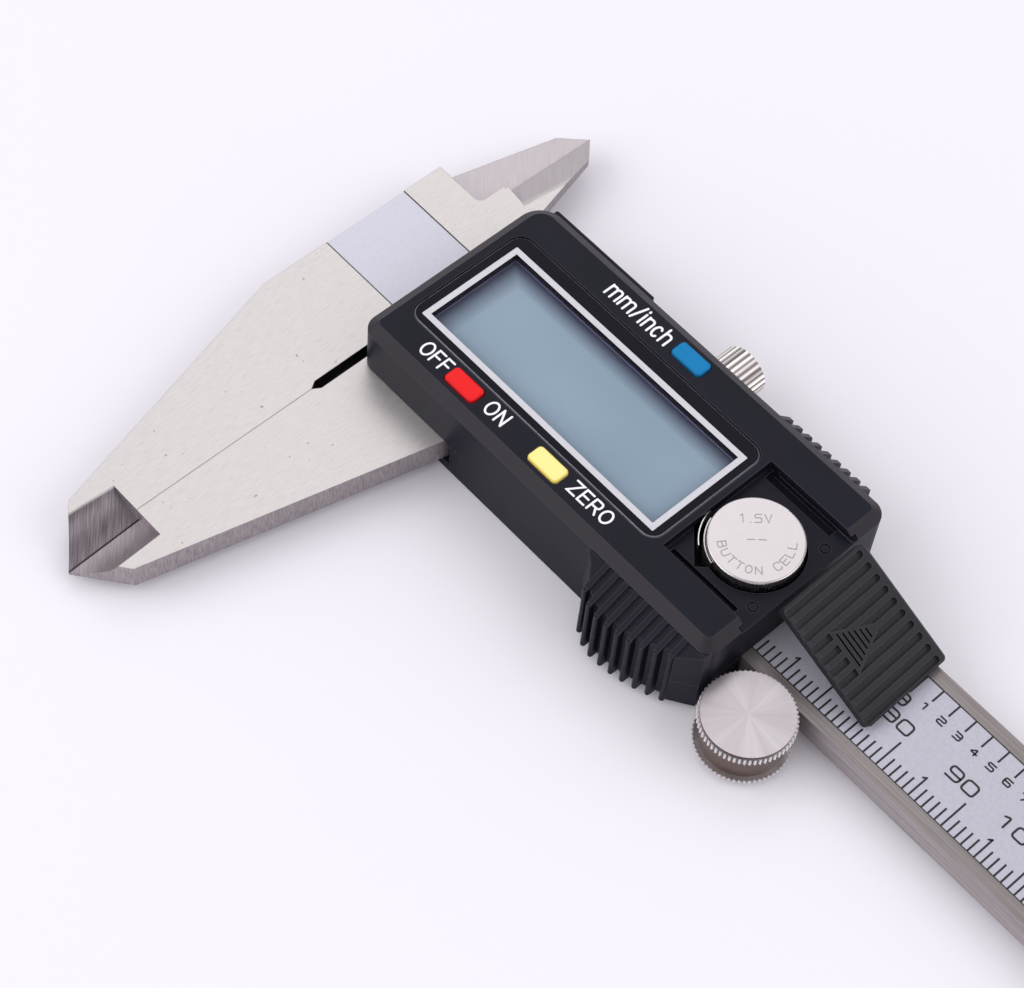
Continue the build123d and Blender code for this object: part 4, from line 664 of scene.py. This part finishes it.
class Drawing:
    """Flat strokes gathered into one piece; strokes that cross lie a hair apart in height."""

    def __init__(self, level):
        self.level = level
        self.points = []
        self.faces = []
        self.count = 0

    def add(self, points, faces):
        """Take in one flat shape, a little above the one before it."""
        height = self.level + LIFT * (len(self.points) % 4)
        self.points.append(np.column_stack([points[:, :2], np.full(len(points), height)]))
        self.faces += [tuple(int(i) + self.count for i in face) for face in faces]
        self.count += len(points)

    def stroke(self, path, width):
        """Take in one stroke."""
        self.add(*ribbon(path, width))

    def turn(self, centre, angle):
        """Turn everything drawn so far about a centre by an angle in degrees."""
        cosine, sine = math.cos(math.radians(angle)), math.sin(math.radians(angle))
        spin = np.array([[cosine, sine], [-sine, cosine]])
        for part in self.points:
            part[:, :2] = (part[:, :2] - centre) @ spin + centre

    def piece(self, name, material):
        """Make the object."""
        return mesh_object(name, np.vstack(self.points), self.faces, material)


def digits(drawing, text, left, style, pitch=0.0):
    """Squarish figures from a left edge on, in a style of foot line, (width, height), stroke
    and corner bend, set a pitch apart."""
    base, size, stroke, bend = style
    for place, character in enumerate(text):
        for points in DIGITS[character]:
            path = np.asarray(points, float) * size + (left + place * pitch, base)
            drawing.stroke(rounded_path(path, bend), stroke)


def letters(drawing, text, left, base, height, widths, gap, stroke):
    """Words in plain upright letters, each as wide as its entry, with a gap between them."""
    x = left
    for character in text:
        wide = widths.get(character, widths["*"])
        strokes, bend = LETTERS[character]
        for points in strokes:
            path = np.asarray(points, float) * (wide, height) + (x, base)
            drawing.stroke(rounded_path(path, bend * height), stroke)
        x += wide + gap


def round_letters(drawing, text, centre, radius, start, step, size, stroke):
    """Letters around a circle, feet outwards: each one's middle stands on the circle at
    start + step * place, turned so that its foot line is square to the radius."""
    for place, character in enumerate(text):
        angle = math.radians(start + step * place)
        outward = np.array([math.cos(angle), math.sin(angle)])
        along = np.array([-outward[1], outward[0]])
        strokes, bend = LETTERS[character]
        for points in strokes:
            flat = (np.asarray(points, float) - (0.5, 0)) * size
            path = centre + flat[:, :1] * along + (radius - flat[:, 1:]) * outward
            drawing.stroke(rounded_path(path, bend * size[1]), stroke)


def rounded_loop(x0, y0, x1, y1, radius, steps=8):
    """Closed rectangle outline whose corners are quarter circles, counter-clockwise."""
    turn = np.linspace(0, math.pi / 2, steps)
    corners = ((x1, y0, -1, 1, -math.pi / 2), (x1, y1, -1, -1, 0),
               (x0, y1, 1, -1, math.pi / 2), (x0, y0, 1, 1, math.pi))
    points = []
    for x, y, inward_x, inward_y, start in corners:
        middle = np.array([x + inward_x * radius, y + inward_y * radius])
        arc = np.column_stack([np.cos(turn + start), np.sin(turn + start)])
        points.append(middle + radius * arc)
    return np.vstack(points)


def strip(*rings):
    """Surface through closed outlines, each given with its level and with equally many
    points: every outline is joined to the next one by a row of quads."""
    count = len(rings[0][0])
    points = np.vstack([
        np.column_stack([outline, np.full(count, level)]) for outline, level in rings])
    index = np.arange(count)
    after = (index + 1) % count
    row = np.column_stack([index, index + count, after + count, after])
    return points, np.vstack([row + place * count for place in range(len(rings) - 1)])


# ---------------------------------------------------------------------------
# Printed scale
# ---------------------------------------------------------------------------
INK = 0.015
label_left = corner("scale_label", 0)[0]
label_right, _, label_top = corner("scale_label", 1)
# X of the zero tick, and Y of the two lines that the ticks start from
SCALE_ZERO = -0.63
LOWER_LINE, UPPER_LINE = -6.28, 6.32
LINE, TICK = 0.17, 0.25
INCH = 25.4
MM_COUNT, TENTH_COUNT = 200, 80
TEN_TICK, FIVE_TICK, ONE_TICK = 4.13, 3.16, 2.04
INCH_TICK, TENTH_TICK = 3.1, 1.95
# figures: foot line, (width, height), stroke and corner bend
TEN_FIGURE = (-1.2, (1.7, 1.6), 0.27, 0.55)
TENTH_FIGURE = (2.88, (0.92, 0.88), 0.22, 0.26)
INCH_FIGURE = (1.3, (1.6, 1.55), 0.27, 0.5)
# a ten's figures stand a pitch apart and end this far before its tick
TEN_PITCH, TEN_GAP = 2.28, 0.1
# how far a tenth's and an inch's figure start before their tick
TENTH_BACK, INCH_BACK = 0.58, 0.8
# flag at a tick of five: how far it starts before the tick, its foot's Y, its reach up the tick
FLAG_BACK, FLAG_FOOT, FLAG_REACH = 0.35, -3.5, 3.1


def scale_ticks():
    """Millimetre ticks stand on the lower line, inch ticks hang from the upper one."""
    value = np.arange(MM_COUNT + 1)
    length = np.where(value % 10 == 0, TEN_TICK, np.where(value % 5 == 0, FIVE_TICK, ONE_TICK))
    x = SCALE_ZERO + value
    low = np.full(len(x), LOWER_LINE)
    millimetres = np.column_stack([x - TICK / 2, low, x + TICK / 2, LOWER_LINE + length])
    tenth = np.arange(TENTH_COUNT + 1)
    reach = np.where(tenth % 10 == 0, INCH_TICK, TENTH_TICK)
    x = SCALE_ZERO + tenth * INCH / 10
    high = np.full(len(x), UPPER_LINE)
    inches = np.column_stack([x - TICK / 2, UPPER_LINE - reach, x + TICK / 2, high])
    borders = np.array([
        [label_left, LOWER_LINE - LINE, label_right, LOWER_LINE],
        [label_left, UPPER_LINE, label_right, UPPER_LINE + LINE],
    ])
    return bars(np.vstack([millimetres, inches, borders]), label_top + INK)


def scale_numbers():
    """Tens of millimetres left of their ticks, small tenths and larger whole inches."""
    drawing = Drawing(label_top + INK)
    wide = TEN_FIGURE[1][0]
    for ten in range(10, MM_COUNT + 1, 10):
        left = SCALE_ZERO + ten - TEN_GAP - wide - (len(str(ten)) - 1) * TEN_PITCH
        digits(drawing, str(ten), left, TEN_FIGURE, TEN_PITCH)
    # a small flag leans on each tick of five millimetres
    for five in range(5, MM_COUNT, 10):
        x = SCALE_ZERO + five
        drawing.stroke([(x - FLAG_BACK, FLAG_FOOT), (x, LOWER_LINE + FLAG_REACH)], TICK)
    for tenth in range(1, TENTH_COUNT):
        if tenth % 10:
            left = SCALE_ZERO + tenth * INCH / 10 - TENTH_BACK
            digits(drawing, str(tenth % 10), left, TENTH_FIGURE)
    for inch in range(1, TENTH_COUNT // 10 + 1):
        digits(drawing, str(inch), SCALE_ZERO + inch * INCH - INCH_BACK, INCH_FIGURE)
    return drawing.piece("scale_numbers", black_ink)


ticks = film(mesh_object("scale_ticks", *scale_ticks(), black_ink), INK)
numbers = film(scale_numbers(), INK)
for piece in (ticks, numbers):
    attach(piece, "beam_body")


# ---------------------------------------------------------------------------
# Lettering on the housing, and the window's print
# ---------------------------------------------------------------------------
case_top = corner("front_housing", 1)[2]
CASE_INK = 0.02
LETTER_WIDTHS = {
    "*": 1.02, "O": 1.35, "N": 1.15, "Z": 1.2, "E": 1.1, "R": 1.25, "m": 1.75, "n": 0.95, "c": 0.9,
    "h": 0.95, "i": 0.1, "/": 0.7,
}
WORDS = (
    # text, left, base, height, gap, stroke
    ("OFF", 7.95, -12.3, 1.95, 0.5, 0.27),
    ("ON", 19.15, -12.15, 1.95, 0.55, 0.27),
    ("ZERO", 33.6, -12.08, 1.8, 0.5, 0.27),
    ("mm/inch", 15.95, 10.48, 2.3, 0.52, 0.3),
)


def case_lettering():
    """Words beside the buttons."""
    drawing = Drawing(case_top + CASE_INK)
    for text, left, base, height, gap, stroke in WORDS:
        letters(drawing, text, left, base, height, LETTER_WIDTHS, gap, stroke)
    return drawing.piece("case_lettering", white_ink)


window_top = corner("display_window", 1)[2]
window_box = (*corner("display_window", 0)[:2], *corner("display_window", 1)[:2])
# the window's corner radius and chamfer
WINDOW_CORNER, WINDOW_EDGE = 1.94, 0.2
# the white frame's outside as x0, y0, x1, y1, its width, and the radius of a sharp corner
FRAME_OUTER = (4.2, -8.4, 44.05, 7.0)
FRAME_WIDTH = 0.78
SHARP = 0.05
# the print's height over the window, and the width of the mask's rim behind the frame
PRINT_LIFT = 0.006
SIGHT_RIM = 0.6


def inset(box, distance):
    """A box with each side moved inwards."""
    return (box[0] + distance, box[1] + distance, box[2] - distance, box[3] - distance)


def window_print():
    """Black print between the white line and the window's edge."""
    outer = rounded_loop(*inset(window_box, WINDOW_EDGE), WINDOW_CORNER - WINDOW_EDGE)
    inner = rounded_loop(*inset(FRAME_OUTER, FRAME_WIDTH / 2), SHARP)
    level = window_top + PRINT_LIFT
    return mesh_object("window_print", *strip((inner, level), (outer, level)), window_black)


def window_edge():
    """Polished chamfer around the window, just outside the print."""
    outer = rounded_loop(*window_box, WINDOW_CORNER)
    inner = rounded_loop(*inset(window_box, WINDOW_EDGE), WINDOW_CORNER - WINDOW_EDGE)
    chamfer = strip((inner, window_top + PRINT_LIFT), (outer, window_top - WINDOW_EDGE))
    return mesh_object("window_edge", *chamfer, polished_edge)


def sight_wall():
    """Sheet of painted shade under the window: a flat rim around the opening, then a wall down
    to the display."""
    wall = rounded_loop(*inset(FRAME_OUTER, FRAME_WIDTH + 0.04), SHARP)
    rim = rounded_loop(*inset(FRAME_OUTER, FRAME_WIDTH - SIGHT_RIM), SHARP)
    mask = strip((wall, SIGHT_FOOT), (wall, SIGHT_HEAD), (rim, SIGHT_HEAD))
    return film(mesh_object("sight_wall", *mask, sight_shade), CASE_INK)


def frame_line():
    """White line around the display."""
    outer = rounded_loop(*FRAME_OUTER, 3 * SHARP)
    inner = rounded_loop(*inset(FRAME_OUTER, FRAME_WIDTH), SHARP)
    level = window_top + CASE_INK
    line = mesh_object("window_frame_line", *strip((inner, level), (outer, level)), frame_ink)
    return film(line, CASE_INK / 2)


printing = (film(case_lettering(), CASE_INK), window_print(), window_edge(), sight_wall(),
            frame_line())
for piece in printing:
    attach(piece, "slider_body")


# ---------------------------------------------------------------------------
# Marks pressed into the cell, painted darker as shade
# ---------------------------------------------------------------------------
CELL_LOW, CELL_HIGH = corner("button_cell", 0), corner("button_cell", 1)
CELL_CENTRE = (CELL_LOW + CELL_HIGH) / 2
CELL_TURN = 48
MARK_STROKE, MARK_LIFT, MARK_DEPTH = 0.13, 0.012, 0.01
# the voltage: its offset from the centre, height and gap; two dashes: half length and offset
VOLTAGE_PLACE, VOLTAGE_HEIGHT, VOLTAGE_GAP = (-1.9, 2.3), 1.1, 0.4
VOLTAGE_WIDTHS = {"*": 0.8, ".": 0.2}
DASH_HALF, DASH_ASIDE = 0.45, 0.65
# the words around the rim: radius, first angle, step and (width, height)
RIM_RADIUS, RIM_START, RIM_STEP, RIM_LETTER = 4.6, 190, 16, (0.75, 1.0)


def cell_marks():
    """Voltage and two dashes in the middle, and the kind of cell around the rim."""
    centre = CELL_CENTRE[:2]
    drawing = Drawing(CELL_HIGH[2] + MARK_LIFT)
    letters(drawing, "1.5V", *(centre + VOLTAGE_PLACE), VOLTAGE_HEIGHT, VOLTAGE_WIDTHS,
            VOLTAGE_GAP, MARK_STROKE)
    for side in (-1, 1):
        middle = centre + (side * DASH_ASIDE, 0)
        drawing.stroke([middle - (DASH_HALF, 0), middle + (DASH_HALF, 0)], MARK_STROKE)
    round_letters(drawing, "BUTTON CELL", centre, RIM_RADIUS, RIM_START, RIM_STEP, RIM_LETTER,
                  MARK_STROKE)
    drawing.turn(centre, CELL_TURN)
    return film(drawing.piece("cell_marks", pressed_mark_shade), MARK_DEPTH)


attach(cell_marks(), "button_cell_body")


# ---------------------------------------------------------------------------
# Spring leaf beside the cell
# ---------------------------------------------------------------------------
# clear of the cell, and the angles, levels and thickness of the sheet
LEAF_CLEARANCE, LEAF_ANGLES, LEAF_LEVELS, LEAF_SHEET = 0.75, (186, 232), (11.2, 12.75), 0.12


def curved_leaf(name, centre, radius, angles, levels, thickness, material):
    """Thin sheet bent around an upright axis between two angles; its rows are the inner foot,
    inner top, outer top and outer foot, each at the same angles, closed into a ring."""
    angle = np.radians(np.linspace(*angles, 25))
    outward = np.column_stack([np.cos(angle), np.sin(angle)])
    (low, high), outside = levels, radius + thickness
    rows = ((radius, low), (radius, high), (outside, high), (outside, low))
    count = len(angle)
    points = np.vstack([
        np.column_stack([centre[:2] + r * outward, np.full(count, z)]) for r, z in rows])
    index = np.arange(count - 1)
    quads = np.vstack([
        np.column_stack([index + a, index + 1 + a, index + 1 + b, index + b])
        for a, b in ((0, count), (count, 2 * count), (2 * count, 3 * count), (3 * count, 0))])
    ends = [(0, count, 2 * count, 3 * count), tuple(count - 1 + k * count for k in (3, 2, 1, 0))]
    return mesh_object(name, points, [*map(tuple, quads), *ends], material)


CELL_RADIUS = (CELL_HIGH - CELL_LOW)[0] / 2
leaf = curved_leaf("contact_leaf", CELL_CENTRE, CELL_RADIUS + LEAF_CLEARANCE, LEAF_ANGLES,
    LEAF_LEVELS, LEAF_SHEET, leaf_steel)
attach(leaf, "slider_body")


# ---------------------------------------------------------------------------
# Floor, light and camera
# ---------------------------------------------------------------------------
def pale_floor():
    """Matte white sweep; the camera and reflections see it as nearly white."""
    material, tree, shader = new_material("matte_white_sweep", Roughness=0.9,
        Specular_IOR_Level=0.0, Emission_Color="#FBFAFD")
    speck = add_node(tree, "TexNoise", {"Vector": mm_coordinates(tree), "Scale": 0.01,
        "Detail": 1.0, "Roughness": 0.55})
    colour = add_node(tree, "ValToRGB", {"Fac": speck}, stops=((0.0, "#E9E6EC"), (1.0, "#EBE8EE")))
    connect(tree, shader, {"Base Color": colour})
    # a sweep lit from behind glows a little, which lifts its shadows
    light_path = add_node(tree, "LightPath")
    glow = add_node(tree, "Math", [light_path.outputs["Is Camera Ray"], 0.03], operation="MULTIPLY")
    connect(tree, shader, {"Emission Strength": glow})
    side, level = 3000.0, -0.02
    corners = [(x * side, y * side, level) for x, y in ((-1, -1), (1, -1), (1, 1), (-1, 1))]
    floor = mesh_object("floor", corners, [(0, 1, 2, 3)], material)


def soft_light(name, place, target, size, power):
    """A square softbox that faces its target."""
    lamp = bpy.data.lights.new(name, "AREA")
    lamp.shape = "RECTANGLE"
    lamp.size, lamp.size_y = size
    lamp.energy = power
    holder = bpy.data.objects.new(name, lamp)
    holder.location = place
    holder.rotation_euler = (Vector(target) - Vector(place)).to_track_quat("-Z", "Y").to_euler()
    scene.collection.objects.link(holder)


def white_room():
    """World light: an even white tent."""
    world = bpy.data.worlds.new("white_tent")
    world.use_nodes = True
    background = world.node_tree.nodes["Background"]
    background.inputs["Color"].default_value = linear("#F7F5FA")
    background.inputs["Strength"].default_value = 0.72
    scene.world = world


CAMERA_PLACE = Vector((142.83, -140.80, 277.67)) * MM
CAMERA_AIM = Vector((26.62, -13.585, 5.4)) * MM
CAMERA_ROLL = 6.323
FOCAL_LENGTH = 96.03


def camera():
    """The camera looks down along the beam from the far end."""
    data = bpy.data.cameras.new("camera")
    data.sensor_width = 36
    data.sensor_fit = "HORIZONTAL"
    data.lens = FOCAL_LENGTH
    data.clip_start = 0.01
    holder = bpy.data.objects.new("camera", data)
    holder.location = CAMERA_PLACE
    holder.rotation_mode = "QUATERNION"
    aim = (CAMERA_AIM - CAMERA_PLACE).to_track_quat("-Z", "Y")
    holder.rotation_quaternion = aim @ Quaternion((0, 0, 1), math.radians(CAMERA_ROLL))
    scene.collection.objects.link(holder)
    scene.camera = holder


pale_floor()
white_room()
soft_light("front_softbox", (-0.42, -0.715, 0.56), (0.03, 0, 0), (1.2, 0.9), 6.0)
soft_light("back_softbox", (0.71, 0.41, 0.57), (0.05, 0, 0), (0.9, 0.8), 2.8)
soft_light("top_softbox", (-0.42, 0.41, 0.81), (0.03, 0, 0), (0.7, 0.7), 1.3)
camera()
scene.view_settings.view_transform = "Standard"
